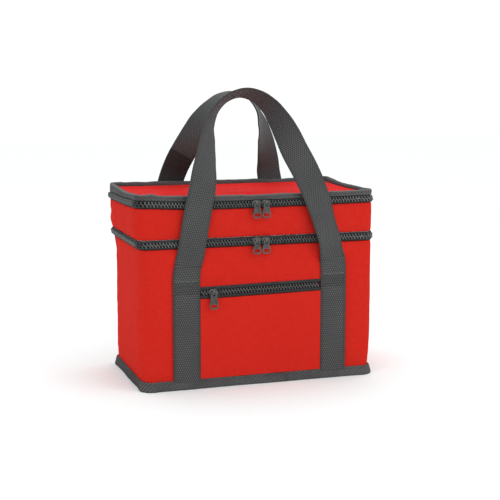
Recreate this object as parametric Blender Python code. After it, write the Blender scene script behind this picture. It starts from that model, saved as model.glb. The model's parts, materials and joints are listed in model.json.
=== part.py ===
"""Insulated cooler bag with an upper compartment, two carrying handles and a front pocket.

The bag stands on the XY plane with its front towards -Y and its origin under its middle.
Every wall follows one rounded outline, which is drawn again at each inset and height.
"""
import math

import bmesh
import bpy
from mathutils import Vector

MM = 0.001
GAP = 0.3 * MM                      # clearance between pieces that touch

# Bag body
WIDTH = 284 * MM
DEPTH = 152 * MM
CORNER_RADIUS = 11 * MM
SMALLEST_RADIUS = 3 * MM
CORNER_STEPS = 5
FABRIC = 1.2 * MM
LINER = 0.8 * MM
WALL_FOAM = 8 * MM
DECK_FOAM = 6 * MM
LID_FOAM = 4 * MM

# Heights, from the ground up
BASE_BINDING_TOP = 11.3 * MM
MAIN_ZIP_BOTTOM = 163.8 * MM
MAIN_ZIP_MIDDLE = 169.0 * MM
MAIN_ZIP_TOP = 174.2 * MM
TOP_ZIP_BOTTOM = 209.2 * MM
TOP_ZIP_MIDDLE = 214.1 * MM
TOP_ZIP_TOP = 219.0 * MM
RIM_TOP = 226.0 * MM

# Bindings
BASE_BINDING_FLARE = 3.0 * MM
RIM_BINDING_FLARE = 2.4 * MM
RIM_BINDING_DEPTH = 3.0 * MM

# Zips: a tape on the outside of the wall and half of a row of teeth along its free edge
TAPE = 0.9 * MM
TEETH_DEPTH = 1.4 * MM
TEETH_HEIGHT = 3.0 * MM
POCKET_ZIP_BOTTOM = 105.0 * MM
POCKET_ZIP_MIDDLE = 111.8 * MM
POCKET_ZIP_TOP = 118.6 * MM

# Sliders and pull tabs
SLIDER_LENGTH = 10 * MM
SLIDER_HEIGHT = 8.4 * MM
SLIDER_DEPTH = 2.6 * MM
SLIDER_BEVEL = 0.9 * MM
BRIDGE_WIDTH = 2.6 * MM
BRIDGE_HEIGHT = 5.0 * MM
BRIDGE_DEPTH = 2.2 * MM
SLIDER_X = {"left": -5.2 * MM, "right": 6.2 * MM}
POCKET_SLIDER_X = -57 * MM
PULL_THICKNESS = 1.5 * MM
PULL_NECK = 7.0 * MM
PULL_WIDTH = 10.6 * MM
PULL_LENGTH = {"top": 16.5 * MM, "main": 14.5 * MM, "pocket": 19 * MM}
PULL_ABOVE_AXIS = 0.7 * MM
PULL_SLOT_DEPTH = 4.4 * MM
PULL_HOLE_X = 2.9 * MM
PULL_HOLE_Z = 1.9 * MM

# Webbing handles
WEBBING_WIDTH = 32 * MM
WEBBING = 2.0 * MM
STRAP_X = {"left": -88 * MM, "right": 92 * MM}
STITCH_TOP = 132 * MM
LOWER_FOLD = 2 * MM
UPPER_FOLD = 8 * MM
HANDLE_STEPS = 4

# The handles' centre lines, from the lowest point of both legs to the top of the arch:
# height, left leg's x, right leg's x, distance from the middle plane, twist in degrees
FRONT_HANDLE = (
    (142.2, -88.0, 92.0, 77.3, 0),
    (145.2, -88.0, 92.0, 78.4, 0),
    (148.5, -88.0, 92.0, 82.8, 0),
    (152.0, -87.5, 91.3, 85.8, 0),
    (157.0, -85.9, 88.9, 86.6, 0),
    (166.0, -83.6, 85.0, 86.3, 0),
    (189.0, -78.8, 77.0, 85.4, 0),
    (214.0, -73.6, 68.0, 85.2, 0),
    (234.0, -69.3, 60.5, 85.0, 4),
    (252.0, -64.2, 53.8, 78.0, 14),
    (271.0, -57.4, 47.8, 62.5, 27),
    (289.0, -50.5, 44.5, 45.5, 40),
    (306.0, -43.0, 39.5, 30.0, 53),
    (321.5, -32.5, 31.0, 21.5, 62),
    (333.0, -18.0, 17.5, 18.0, 65),
    (337.5, 0.0, 0.0, 17.2, 65),
)
BACK_HANDLE = (
    (142.2, -88.0, 92.0, 77.3, 0),
    (147.0, -87.6, 91.4, 77.9, 0),
    (155.0, -86.0, 89.0, 82.4, 0),
    (166.0, -83.0, 85.0, 85.0, 0),
    (189.0, -76.0, 77.5, 85.2, 0),
    (214.0, -68.0, 70.0, 85.2, 0),
    (234.0, -61.5, 65.5, 85.0, 4),
    (252.0, -55.5, 61.5, 78.0, 14),
    (271.0, -49.0, 53.5, 62.5, 26),
    (289.0, -43.0, 45.0, 45.5, 38),
    (304.5, -38.0, 36.5, 30.5, 54),
    (319.5, -30.0, 28.0, 21.5, 69),
    (332.0, -18.0, 15.5, 18.2, 78),
    (336.5, -1.0, -1.0, 17.4, 80),
)

FRONT = -1
BACK = 1

COLOURS = {
    "shell_fabric": ((0.62, 0.022, 0.020), 0.75, 0.0),
    "lid_fabric": ((0.70, 0.035, 0.032), 0.75, 0.0),
    "webbing": ((0.055, 0.055, 0.058), 0.85, 0.0),
    "binding_tape": ((0.050, 0.050, 0.053), 0.85, 0.0),
    "zip_tape": ((0.030, 0.030, 0.032), 0.85, 0.0),
    "zip_metal": ((0.045, 0.045, 0.048), 0.45, 0.0),
    "liner_film": ((0.72, 0.73, 0.75), 0.35, 0.2),
    "foam_board": ((0.88, 0.88, 0.86), 0.9, 0.0),
    "base_fabric": ((0.025, 0.025, 0.027), 0.8, 0.0),
}


def clear_scene():
    """Remove every object that the file opened with."""
    for item in list(bpy.data.objects):
        bpy.data.objects.remove(item)


def material(name):
    """A Principled BSDF with the finish listed under the name."""
    found = bpy.data.materials.get(name)
    if found:
        return found
    colour, roughness, metallic = COLOURS[name]
    made = bpy.data.materials.new(name)
    made.use_nodes = True
    shader = made.node_tree.nodes["Principled BSDF"]
    shader.inputs["Base Color"].default_value = (*colour, 1.0)
    shader.inputs["Roughness"].default_value = roughness
    shader.inputs["Metallic"].default_value = metallic
    return made


def add_object(name, bm, finish, smooth=False):
    """Turn a bmesh into a named object whose faces point out."""
    bmesh.ops.remove_doubles(bm, verts=bm.verts, dist=1e-7)
    bmesh.ops.recalc_face_normals(bm, faces=bm.faces)
    mesh = bpy.data.meshes.new(name)
    bm.to_mesh(mesh)
    bm.free()
    mesh.materials.append(material(finish))
    if smooth:
        mesh.shade_smooth()
        mesh.set_sharp_from_angle(angle=math.radians(35))
    made = bpy.data.objects.new(name, mesh)
    bpy.context.collection.objects.link(made)
    return made


def put_origin(made, point):
    """Move an object's origin to a point without moving its faces."""
    shift = Vector(point)
    for vertex in made.data.vertices:
        vertex.co -= shift
    made.location = shift


# ---------------------------------------------------------------- outlines and solids

def outline(inset):
    """The bag's rounded outline at an inset, from the back left corner round the front."""
    half_x = WIDTH / 2 - inset
    half_y = DEPTH / 2 - inset
    radius = max(CORNER_RADIUS - inset, SMALLEST_RADIUS)
    corners = ((-1, 1, 90), (-1, -1, 180), (1, -1, 270), (1, 1, 0))
    points = []
    for side_x, side_y, first in corners:
        for step in range(CORNER_STEPS + 1):
            angle = math.radians(first + 90 * step / CORNER_STEPS)
            x = side_x * (half_x - radius) + radius * math.cos(angle)
            y = side_y * (half_y - radius) + radius * math.sin(angle)
            points.append((x, y))
    return points


def clipped(points, axis, limit, keep_above):
    """The part of an outline on one side of a line across the x or y axis."""
    def inside(point):
        return point[axis] >= limit if keep_above else point[axis] <= limit

    kept = []
    for index, point in enumerate(points):
        before = points[index - 1]
        if inside(point) != inside(before):
            share = (limit - before[axis]) / (point[axis] - before[axis])
            kept.append(tuple(b + share * (p - b) for b, p in zip(before, point)))
        if inside(point):
            kept.append(point)
    return kept


def slab(name, points, bottom, top, finish):
    """A flat board: an outline raised from one height to another."""
    bm = bmesh.new()
    low = [bm.verts.new((x, y, bottom)) for x, y in points]
    high = [bm.verts.new((x, y, top)) for x, y in points]
    bm.faces.new(low)
    bm.faces.new(high)
    for index in range(len(points)):
        bm.faces.new((low[index - 1], low[index], high[index], high[index - 1]))
    return add_object(name, bm, finish)


def box(name, low, high, finish, bevel=0.0):
    """A block between two corners."""
    bm = bmesh.new()
    bmesh.ops.create_cube(bm, size=1.0)
    for vertex in bm.verts:
        vertex.co = [a + (b - a) * (c + 0.5) for a, b, c in zip(low, high, vertex.co)]
    if bevel:
        bmesh.ops.bevel(bm, geom=bm.edges[:], offset=bevel, segments=2, affect="EDGES",
                        clamp_overlap=True)
    return add_object(name, bm, finish, smooth=bevel > 0)


def bridge(bm, first, second, whole):
    """Join two rows of points with faces, round the whole outline or all but its back."""
    for index in range(0 if whole else 1, len(first)):
        bm.faces.new((first[index - 1], first[index], second[index], second[index - 1]))


def wall(name, profile, finish, kind):
    """Carry a profile of (inset, height) points round the bag's outline.

    kind is "ring" for a band right round, "run" for one that leaves the back open, and
    "tub" for a profile whose first and last points are the edges of two floors.
    """
    bm = bmesh.new()
    rows = []
    for inset, height in profile:
        rows.append([bm.verts.new((x, y, height)) for x, y in outline(inset)])
    for first, second in zip(rows, rows[1:]):
        bridge(bm, first, second, whole=kind != "run")
    if kind == "tub":
        bm.faces.new(rows[0])
        bm.faces.new(rows[-1])
    else:
        bridge(bm, rows[-1], rows[0], whole=kind != "run")
    if kind == "run":
        bm.faces.new([row[0] for row in rows])
        bm.faces.new([row[-1] for row in rows])
    return add_object(name, bm, finish, smooth=True)


def band(name, inner, outer, bottom, top, finish, kind="ring"):
    """A wall of even thickness between two insets."""
    profile = ((outer, bottom), (outer, top), (inner, top), (inner, bottom))
    return wall(name, profile, finish, kind)


def plate_with_hole(name, edge, hole, front, back, finish):
    """A flat plate in the XZ plane, with one hole."""
    bm = bmesh.new()
    sides = []
    for loop in (edge, hole):
        corners = [bm.verts.new((x, front, z)) for x, z in loop]
        sides += [bm.edges.new((corners[i - 1], corners[i])) for i in range(len(corners))]
    filled = bmesh.ops.triangle_fill(bm, edges=sides, use_beauty=True)
    faces = [item for item in filled["geom"] if isinstance(item, bmesh.types.BMFace)]
    raised = bmesh.ops.extrude_face_region(bm, geom=faces)
    moved = [item for item in raised["geom"] if isinstance(item, bmesh.types.BMVert)]
    bmesh.ops.translate(bm, vec=(0.0, back - front, 0.0), verts=moved)
    return add_object(name, bm, finish)


# ---------------------------------------------------------------- bag body

def foam_walls(prefix, skin, foam, bottom, top):
    """Four foam boards that stand inside a shell's corners."""
    shell_inside = outline(skin)
    side_limit = DEPTH / 2 - skin - foam
    end_limit = WIDTH / 2 - skin - foam
    front = clipped(shell_inside, 1, -side_limit, keep_above=False)
    back = clipped(shell_inside, 1, side_limit, keep_above=True)
    between = clipped(shell_inside, 1, -side_limit + GAP, keep_above=True)
    between = clipped(between, 1, side_limit - GAP, keep_above=False)
    left = clipped(between, 0, -end_limit, keep_above=False)
    right = clipped(between, 0, end_limit, keep_above=True)
    boards = {"front": front, "back": back, "left": left, "right": right}
    for side, points in boards.items():
        slab(f"{prefix}_{side}_foam", points, bottom, top, "foam_board")


def lined_tub(name, skin, foam, floor, top, rim, finish):
    """A liner: floor, walls and a rim that turns out over the foam's top edge."""
    outside = skin + foam + GAP
    inside = outside + LINER
    profile = (
        (inside, floor + LINER),
        (inside, top),
        (rim, top),
        (rim, top - LINER),
        (outside, top - LINER),
        (outside, floor),
    )
    return wall(name, profile, finish, "tub")


def build_main_body():
    """The lower compartment: base, shell, foam, liner."""
    skin = FABRIC + GAP
    slab("base_panel", outline(0), 0.0, 1.5 * MM, "base_fabric")
    binding = (
        (-BASE_BINDING_FLARE, 0.0),
        (-BASE_BINDING_FLARE, 2.5 * MM),
        (-1.9 * MM, BASE_BINDING_TOP - 1.0 * MM),
        (-1.2 * MM, BASE_BINDING_TOP),
        (-GAP, BASE_BINDING_TOP),
        (-GAP, 0.0),
    )
    wall("base_binding", binding, "binding_tape", "ring")
    shell_bottom = 1.5 * MM + GAP
    band("main_shell", FABRIC, 0.0, shell_bottom, MAIN_ZIP_BOTTOM, "shell_fabric")
    foam_bottom = shell_bottom + WALL_FOAM
    slab("main_base_foam", outline(skin), shell_bottom, foam_bottom, "foam_board")
    foam_top = MAIN_ZIP_BOTTOM - 4 * MM
    foam_walls("main", skin, WALL_FOAM, foam_bottom + GAP, foam_top)
    liner_top = foam_top + GAP + LINER
    lined_tub("main_liner", skin, WALL_FOAM, foam_bottom + GAP, liner_top, skin, "liner_film")


def build_deck():
    """The upper compartment, which lifts with the lid to open the lower one."""
    skin = FABRIC + GAP
    band("deck_shell", FABRIC, 0.0, MAIN_ZIP_TOP, TOP_ZIP_BOTTOM, "shell_fabric")
    lining_bottom = MAIN_ZIP_MIDDLE + 1.0 * MM
    slab("deck_lining", outline(skin), lining_bottom, lining_bottom + LINER, "liner_film")
    foam_bottom = lining_bottom + LINER + GAP
    foam_top = foam_bottom + DECK_FOAM
    slab("deck_floor_foam", outline(skin), foam_bottom, foam_top, "foam_board")
    wall_top = TOP_ZIP_BOTTOM - 3 * MM
    foam_walls("deck", skin, DECK_FOAM, foam_top + GAP, wall_top)
    liner_top = wall_top + GAP + LINER
    lined_tub("deck_liner", skin, DECK_FOAM, foam_top + GAP, liner_top, skin, "liner_film")


def build_lid():
    """The lid: top fabric, foam, lining and the tape bound round its rim."""
    skin = RIM_BINDING_DEPTH + GAP
    lining_bottom = TOP_ZIP_MIDDLE + 0.6 * MM
    slab("lid_lining", outline(skin), lining_bottom, lining_bottom + LINER, "liner_film")
    foam_bottom = lining_bottom + LINER + GAP
    foam_top = foam_bottom + LID_FOAM
    slab("lid_foam", outline(skin), foam_bottom, foam_top, "foam_board")
    panel_bottom = foam_top + GAP
    slab("lid_panel", outline(skin), panel_bottom, panel_bottom + FABRIC, "lid_fabric")
    binding = (
        (-0.4 * MM, TOP_ZIP_TOP + GAP),
        (-RIM_BINDING_FLARE, TOP_ZIP_TOP + 1.8 * MM),
        (-RIM_BINDING_FLARE, RIM_TOP - 0.8 * MM),
        (-RIM_BINDING_FLARE + 0.8 * MM, RIM_TOP),
        (RIM_BINDING_DEPTH - 1.0 * MM, RIM_TOP),
        (RIM_BINDING_DEPTH, RIM_TOP - 1.0 * MM),
        (RIM_BINDING_DEPTH, TOP_ZIP_TOP + GAP),
    )
    wall("lid_binding", binding, "binding_tape", "ring")


# ---------------------------------------------------------------- zips

def zip_half(name, edge, middle, kind_of_run):
    """Half of a zip: its tape from an edge of the bag to the teeth along its middle."""
    towards_edge = -1 if edge < middle else 1
    free = middle + towards_edge * GAP / 2
    shoulder = free + towards_edge * TEETH_HEIGHT / 2
    end = edge - towards_edge * GAP
    tape_face = -GAP - TAPE
    teeth_face = tape_face - TEETH_DEPTH
    inner = FABRIC - GAP
    profile = (
        (inner, free),
        (teeth_face, free),
        (teeth_face, shoulder),
        (tape_face, shoulder + towards_edge * 0.5 * MM),
        (tape_face, end),
        (inner, end),
    )
    return wall(name, profile, "zip_tape", kind_of_run)


def hinge_strip(name, low, high):
    """One half of the fabric strip that hinges two sections across the back."""
    half = WIDTH / 2 - CORNER_RADIUS - GAP
    back = DEPTH / 2
    box(name, (-half, back - FABRIC, low), (half, back + TAPE, high), "shell_fabric")


def pocket_zip_half(name, edge, middle):
    """Half of the pocket's straight zip, between the two straps."""
    towards_edge = -1 if edge < middle else 1
    free = middle + towards_edge * GAP / 2
    shoulder = free + towards_edge * TEETH_HEIGHT / 2
    wall_face = -DEPTH / 2 - GAP
    tape_face = wall_face - TAPE
    teeth_face = tape_face - TEETH_DEPTH
    profile = (
        (wall_face, free),
        (teeth_face, free),
        (teeth_face, shoulder),
        (tape_face, shoulder + towards_edge * 0.5 * MM),
        (tape_face, edge),
        (wall_face, edge),
    )
    bm = bmesh.new()
    ends = []
    for x in between_straps():
        ends.append([bm.verts.new((x, y, z)) for y, z in profile])
    bridge(bm, ends[0], ends[1], whole=True)
    bm.faces.new(ends[0])
    bm.faces.new(ends[1])
    return add_object(name, bm, "zip_tape", smooth=True)


def build_zips():
    """Three zips: round the top, round the main compartment and across the pocket."""
    zip_half("main_zip_lower", MAIN_ZIP_BOTTOM, MAIN_ZIP_MIDDLE, "run")
    zip_half("main_zip_upper", MAIN_ZIP_TOP, MAIN_ZIP_MIDDLE, "run")
    zip_half("top_zip_lower", TOP_ZIP_BOTTOM, TOP_ZIP_MIDDLE, "run")
    zip_half("top_zip_upper", TOP_ZIP_TOP, TOP_ZIP_MIDDLE, "run")
    hinge_strip("main_hinge_strip_lower", MAIN_ZIP_BOTTOM + GAP, MAIN_ZIP_MIDDLE - GAP / 2)
    hinge_strip("main_hinge_strip_upper", MAIN_ZIP_MIDDLE + GAP / 2, MAIN_ZIP_TOP - GAP)
    hinge_strip("lid_hinge_strip_lower", TOP_ZIP_BOTTOM + GAP, TOP_ZIP_MIDDLE - GAP / 2)
    hinge_strip("lid_hinge_strip_upper", TOP_ZIP_MIDDLE + GAP / 2, TOP_ZIP_TOP - GAP)
    pocket_zip_half("pocket_zip_lower", POCKET_ZIP_BOTTOM, POCKET_ZIP_MIDDLE)
    pocket_zip_half("pocket_zip_upper", POCKET_ZIP_TOP, POCKET_ZIP_MIDDLE)


def slider(name, x, z):
    """A slider's body with the bridge that carries its pull tab, in one piece."""
    teeth_face = -DEPTH / 2 - GAP - TAPE - TEETH_DEPTH
    back = teeth_face - GAP
    front = back - SLIDER_DEPTH
    half_x = SLIDER_LENGTH / 2
    half_z = SLIDER_HEIGHT / 2
    body = box(name, (x - half_x, front, z - half_z), (x + half_x, back, z + half_z),
               "zip_metal", SLIDER_BEVEL)
    post = box(name + "_bridge",
               (x - BRIDGE_WIDTH / 2, front - BRIDGE_DEPTH, z - BRIDGE_HEIGHT / 2),
               (x + BRIDGE_WIDTH / 2, front + SLIDER_DEPTH / 2, z + BRIDGE_HEIGHT / 2),
               "zip_metal")
    post.hide_render = True
    post.display_type = "WIRE"
    join = body.modifiers.new("bridge", "BOOLEAN")
    join.operation = "UNION"
    join.object = post
    put_origin(body, (x, back, z))
    return front


def pull_tab(name, x, z, slider_front, length):
    """A pull tab whose two prongs straddle the bridge; it hangs from an axis along X."""
    axis_y = slider_front - GAP - PULL_THICKNESS / 2
    slot = BRIDGE_WIDTH / 2 + GAP
    neck = PULL_NECK / 2
    wide = PULL_WIDTH / 2
    top = z + PULL_ABOVE_AXIS
    slot_bottom = top - PULL_SLOT_DEPTH
    round_z = z - length + wide
    neck_end = slot_bottom - 2.0 * MM
    right_side = [(slot, slot_bottom), (slot, top), (neck, top), (neck, neck_end)]
    bottom = []
    arc_steps = 10
    for step in range(arc_steps + 1):
        angle = math.radians(20 - 220 * step / arc_steps)
        bottom.append((wide * math.cos(angle), round_z + wide * math.sin(angle)))
    left_side = [(-px, pz) for px, pz in reversed(right_side)]
    edge = [(x + px, pz) for px, pz in right_side + bottom + left_side]
    hole = []
    hole_steps = 12
    for step in range(hole_steps):
        angle = 2 * math.pi * step / hole_steps
        hole.append((x + PULL_HOLE_X * math.cos(angle), round_z + PULL_HOLE_Z * math.sin(angle)))
    half = PULL_THICKNESS / 2
    tab = plate_with_hole(name, edge, hole, axis_y - half, axis_y + half, "zip_metal")
    put_origin(tab, (x, axis_y, z))


def build_sliders():
    """Two sliders meet at the middle of each long zip; the pocket's zip has one."""
    places = (
        ("top_left", SLIDER_X["left"], TOP_ZIP_MIDDLE),
        ("top_right", SLIDER_X["right"], TOP_ZIP_MIDDLE),
        ("main_left", SLIDER_X["left"], MAIN_ZIP_MIDDLE),
        ("main_right", SLIDER_X["right"], MAIN_ZIP_MIDDLE),
        ("pocket", POCKET_SLIDER_X, POCKET_ZIP_MIDDLE),
    )
    for label, x, z in places:
        front = slider(f"{label}_slider", x, z)
        pull_tab(f"{label}_pull", x, z, front, PULL_LENGTH[label.split("_")[0]])


# ---------------------------------------------------------------- straps and handles

def ribbon(name, stations, finish="webbing"):
    """A flat strap through stations of (centre, across, out of its face)."""
    bm = bmesh.new()
    rows = []
    for centre, across, out in stations:
        half_width = across * (WEBBING_WIDTH / 2)
        half_thick = out * (WEBBING / 2)
        corners = (
            centre - half_width - half_thick,
            centre + half_width - half_thick,
            centre + half_width + half_thick,
            centre - half_width + half_thick,
        )
        rows.append([bm.verts.new(corner) for corner in corners])
    for first, second in zip(rows, rows[1:]):
        bridge(bm, first, second, whole=True)
    bm.faces.new(rows[0])
    bm.faces.new(rows[-1])
    return add_object(name, bm, finish, smooth=True)


def straight_strap(name, x, face, low, high):
    """An upright length of webbing against the front or back of the bag."""
    centre_y = face * (DEPTH / 2 + GAP + WEBBING / 2)
    across = Vector((1, 0, 0))
    out = Vector((0, face, 0))
    stations = [(Vector((x, centre_y, height)), across, out) for height in (low, high)]
    return ribbon(name, stations)


def curve_point(before, start, end, after, share):
    """A point between start and end on the smooth curve through four points."""
    square = share * share
    cube = square * share
    return 0.5 * (
        2 * start
        + (end - before) * share
        + (2 * before - 5 * start + 4 * end - after) * square
        + (3 * start - before - 3 * end + after) * cube
    )


def handle_curve(keys_up):
    """Centres and twists along a front handle, up its left leg and down its right."""
    left = []
    right = []
    for height, left_x, right_x, depth, turn in keys_up:
        left.append((Vector((left_x, -depth, height)) * MM, math.radians(turn)))
        right.append((Vector((right_x, -depth, height)) * MM, math.radians(turn)))
    keys = left + right[-2::-1]
    points = [key[0] for key in keys]
    twists = [key[1] for key in keys]
    points = [2 * points[0] - points[1]] + points + [2 * points[-1] - points[-2]]
    twists = [twists[0]] + twists + [twists[-1]]
    samples = []
    for index in range(1, len(points) - 2):
        for step in range(HANDLE_STEPS):
            share = step / HANDLE_STEPS
            samples.append((
                curve_point(*points[index - 1:index + 3], share),
                curve_point(*twists[index - 1:index + 3], share),
            ))
    samples.append((points[-2], twists[-2]))
    return samples


def handle(name, face, keys_up):
    """A carrying handle, which twists as it rises so that its face turns down at the top."""
    samples = handle_curve(keys_up)
    stations = []
    for index, (centre, twist) in enumerate(samples):
        before = samples[max(index - 1, 0)][0]
        after = samples[min(index + 1, len(samples) - 1)][0]
        along = (after - before).normalized()
        if index in (0, len(samples) - 1):
            along = Vector((0, 0, 1 if index == 0 else -1))
        front = Vector((0, -1, 0))
        front = (front - along * front.dot(along)).normalized()
        inward = front.cross(along)
        if inward.dot(Vector((along.z, 0, -along.x))) < 0:
            inward = -inward
        out = front * math.cos(twist) + inward * math.sin(twist)
        across = out.cross(along)
        stations.append((centre, across, out))
    if face == BACK:
        flip = Vector((1, -1, 1))
        stations = [tuple(part * flip for part in station) for station in stations]
    made = ribbon(name, stations)
    put_origin(made, (0, face * (DEPTH / 2 + GAP + WEBBING), STITCH_TOP + LOWER_FOLD + UPPER_FOLD))


def build_handles():
    """Sewn straps, the two short folds above the seam of each leg, and the handles."""
    first_fold = STITCH_TOP
    second_fold = first_fold + LOWER_FOLD
    third_fold = second_fold + UPPER_FOLD
    for face, face_name, keys_up in (
        (FRONT, "front", FRONT_HANDLE),
        (BACK, "back", BACK_HANDLE),
    ):
        for side_name, x in STRAP_X.items():
            label = f"{face_name}_{side_name}"
            low = BASE_BINDING_TOP + GAP
            straight_strap(f"{label}_sewn_strap", x, face, low, first_fold - GAP / 2)
            straight_strap(f"{label}_lower_fold", x, face,
                           first_fold + GAP / 2, second_fold - GAP / 2)
            straight_strap(f"{label}_upper_fold", x, face,
                           second_fold + GAP / 2, third_fold - GAP / 2)
        handle(f"{face_name}_handle", face, keys_up)


def between_straps():
    """The two ends, along x, of what is sewn on the front between the straps."""
    margin = WEBBING_WIDTH / 2 + GAP
    return STRAP_X["left"] + margin, STRAP_X["right"] - margin


def build_pocket():
    """The fabric panel of the front pocket, between the straps and under its zip."""
    left, right = between_straps()
    back = -DEPTH / 2 - GAP
    box("pocket_panel", (left, back - 1.6 * MM, BASE_BINDING_TOP + GAP),
        (right, back, POCKET_ZIP_BOTTOM - GAP), "shell_fabric", 0.5 * MM)


def main():
    """Build the whole bag."""
    clear_scene()
    build_main_body()
    build_deck()
    build_lid()
    build_zips()
    build_pocket()
    build_handles()
    build_sliders()


main()
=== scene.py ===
import json
import math

import bmesh
import bpy
import numpy as np
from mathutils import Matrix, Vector

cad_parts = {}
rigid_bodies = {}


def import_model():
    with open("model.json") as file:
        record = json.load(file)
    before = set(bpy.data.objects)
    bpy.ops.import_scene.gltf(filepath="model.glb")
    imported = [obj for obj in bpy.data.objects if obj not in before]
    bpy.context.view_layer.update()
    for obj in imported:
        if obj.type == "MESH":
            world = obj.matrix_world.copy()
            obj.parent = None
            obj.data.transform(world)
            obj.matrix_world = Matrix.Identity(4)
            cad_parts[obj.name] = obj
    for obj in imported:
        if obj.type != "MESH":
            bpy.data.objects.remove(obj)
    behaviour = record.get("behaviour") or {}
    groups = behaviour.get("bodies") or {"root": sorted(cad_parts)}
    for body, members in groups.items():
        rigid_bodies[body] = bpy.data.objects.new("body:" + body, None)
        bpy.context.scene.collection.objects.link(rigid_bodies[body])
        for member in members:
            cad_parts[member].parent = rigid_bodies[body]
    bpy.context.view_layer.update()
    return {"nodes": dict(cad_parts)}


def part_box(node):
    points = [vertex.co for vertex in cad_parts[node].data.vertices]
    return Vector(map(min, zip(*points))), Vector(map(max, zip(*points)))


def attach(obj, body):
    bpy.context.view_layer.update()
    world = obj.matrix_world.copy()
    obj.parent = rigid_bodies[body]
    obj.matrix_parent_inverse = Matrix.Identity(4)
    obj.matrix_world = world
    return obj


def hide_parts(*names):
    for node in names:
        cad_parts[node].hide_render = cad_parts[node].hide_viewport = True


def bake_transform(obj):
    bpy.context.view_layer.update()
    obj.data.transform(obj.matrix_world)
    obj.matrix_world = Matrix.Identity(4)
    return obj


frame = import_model()
CAD_NAMES = [o.name for o in bpy.data.objects]

MM = 0.001

# The webbing's weave: mesh row, length of a float, width of a column, where the edge ribs begin
COLUMNS = 24
ROW = 1.3 * MM
WEAVE = 2 * ROW
COLUMN = 32 * MM / COLUMNS
RIBS_FROM = 0.8

# How far up the back handle's left leg its webbing is doubled, with the doubled tail painted darker as shade
DOUBLED_TO = 262 * MM

# Sizes that the CAD part has too
RADIUS = 11 * MM
SMALLEST_RADIUS = 3 * MM
WEBBING_WIDTH = 32 * MM
WEBBING = 2.0 * MM
STRAP_X = {"left": -88 * MM, "right": 92 * MM}
HALF_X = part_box("main_shell")[1].x
HALF_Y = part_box("main_shell")[1].y
BASE_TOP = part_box("base_binding")[1].z
WEBBING_Y = HALF_Y + 0.3 * MM + WEBBING / 2
FIRST_FOLD = 132 * MM
SECOND_FOLD = 134 * MM
THIRD_FOLD = 142 * MM
MAIN_ZIP = 169.0 * MM
TOP_ZIP = 214.1 * MM
POCKET_ZIP = 111.8 * MM

# The rows that hold each strap's head to the wall
SEWN_ROWS = [(123.2 - 2.9 * row) * MM for row in range(5)]
BOLD_ROW = 126.6 * MM

# Distance between the slanting ribs of the binding tape
RIB_PITCH = 3.7 * MM

# Where the painted highlight runs along the rim tape's upper fold, measured along its section
RIM_FOLD_HIGHLIGHT = (11.4 * MM, 13.0 * MM)

# The handles' centre lines up each leg: height, left x, right x, depth, left and right twist
FRONT_HANDLE = (
    (142.2, -86.3, 90.7, 77.3, 0, 0),
    (147.0, -85.6, 89.8, 78.3, 0, -5),
    (158.0, -83.4, 87.0, 80.6, 0, -14),
    (169.0, -81.6, 84.8, 81.6, 0, -16),
    (180.0, -79.8, 80.7, 82.0, 0, -17),
    (191.0, -78.1, 77.1, 82.3, 0, -16),
    (207.0, -75.2, 72.0, 82.8, 0, -9),
    (229.0, -70.8, 62.8, 83.8, 3, 0),
    (251.0, -66.0, 53.8, 78.5, 13, 10),
    (271.0, -58.2, 47.8, 62.5, 27, 27),
    (289.0, -50.5, 44.5, 45.5, 40, 40),
    (306.0, -43.0, 39.5, 30.0, 53, 53),
    (321.5, -32.5, 31.0, 21.5, 62, 62),
    (333.0, -18.0, 17.5, 18.0, 67, 67),
    (337.8, 0.0, 0.0, 17.2, 69, 69),
)
BACK_HANDLE = (
    (142.2, -86.3, 91.4, 77.3, 0, 0),
    (147.0, -85.8, 91.0, 78.2, 0, 0),
    (155.0, -85.4, 89.0, 80.4, 0, 0),
    (166.0, -83.0, 85.0, 82.0, 0, 0),
    (189.0, -76.0, 77.5, 83.2, 0, 0),
    (214.0, -68.0, 71.5, 84.4, 0, 0),
    (234.0, -61.5, 67.4, 85.0, 4, 2),
    (252.0, -55.5, 63.4, 78.0, 14, 10),
    (271.0, -49.0, 55.4, 62.5, 26, 21),
    (289.0, -43.0, 45.8, 45.5, 38, 35),
    (304.5, -38.0, 36.5, 30.5, 54, 54),
    (319.5, -30.0, 28.0, 21.5, 69, 69),
    (332.0, -18.0, 15.5, 18.2, 78, 78),
    (336.5, -1.0, -1.0, 17.4, 80, 80),
)


# ---------------------------------------------------------------- materials

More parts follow.
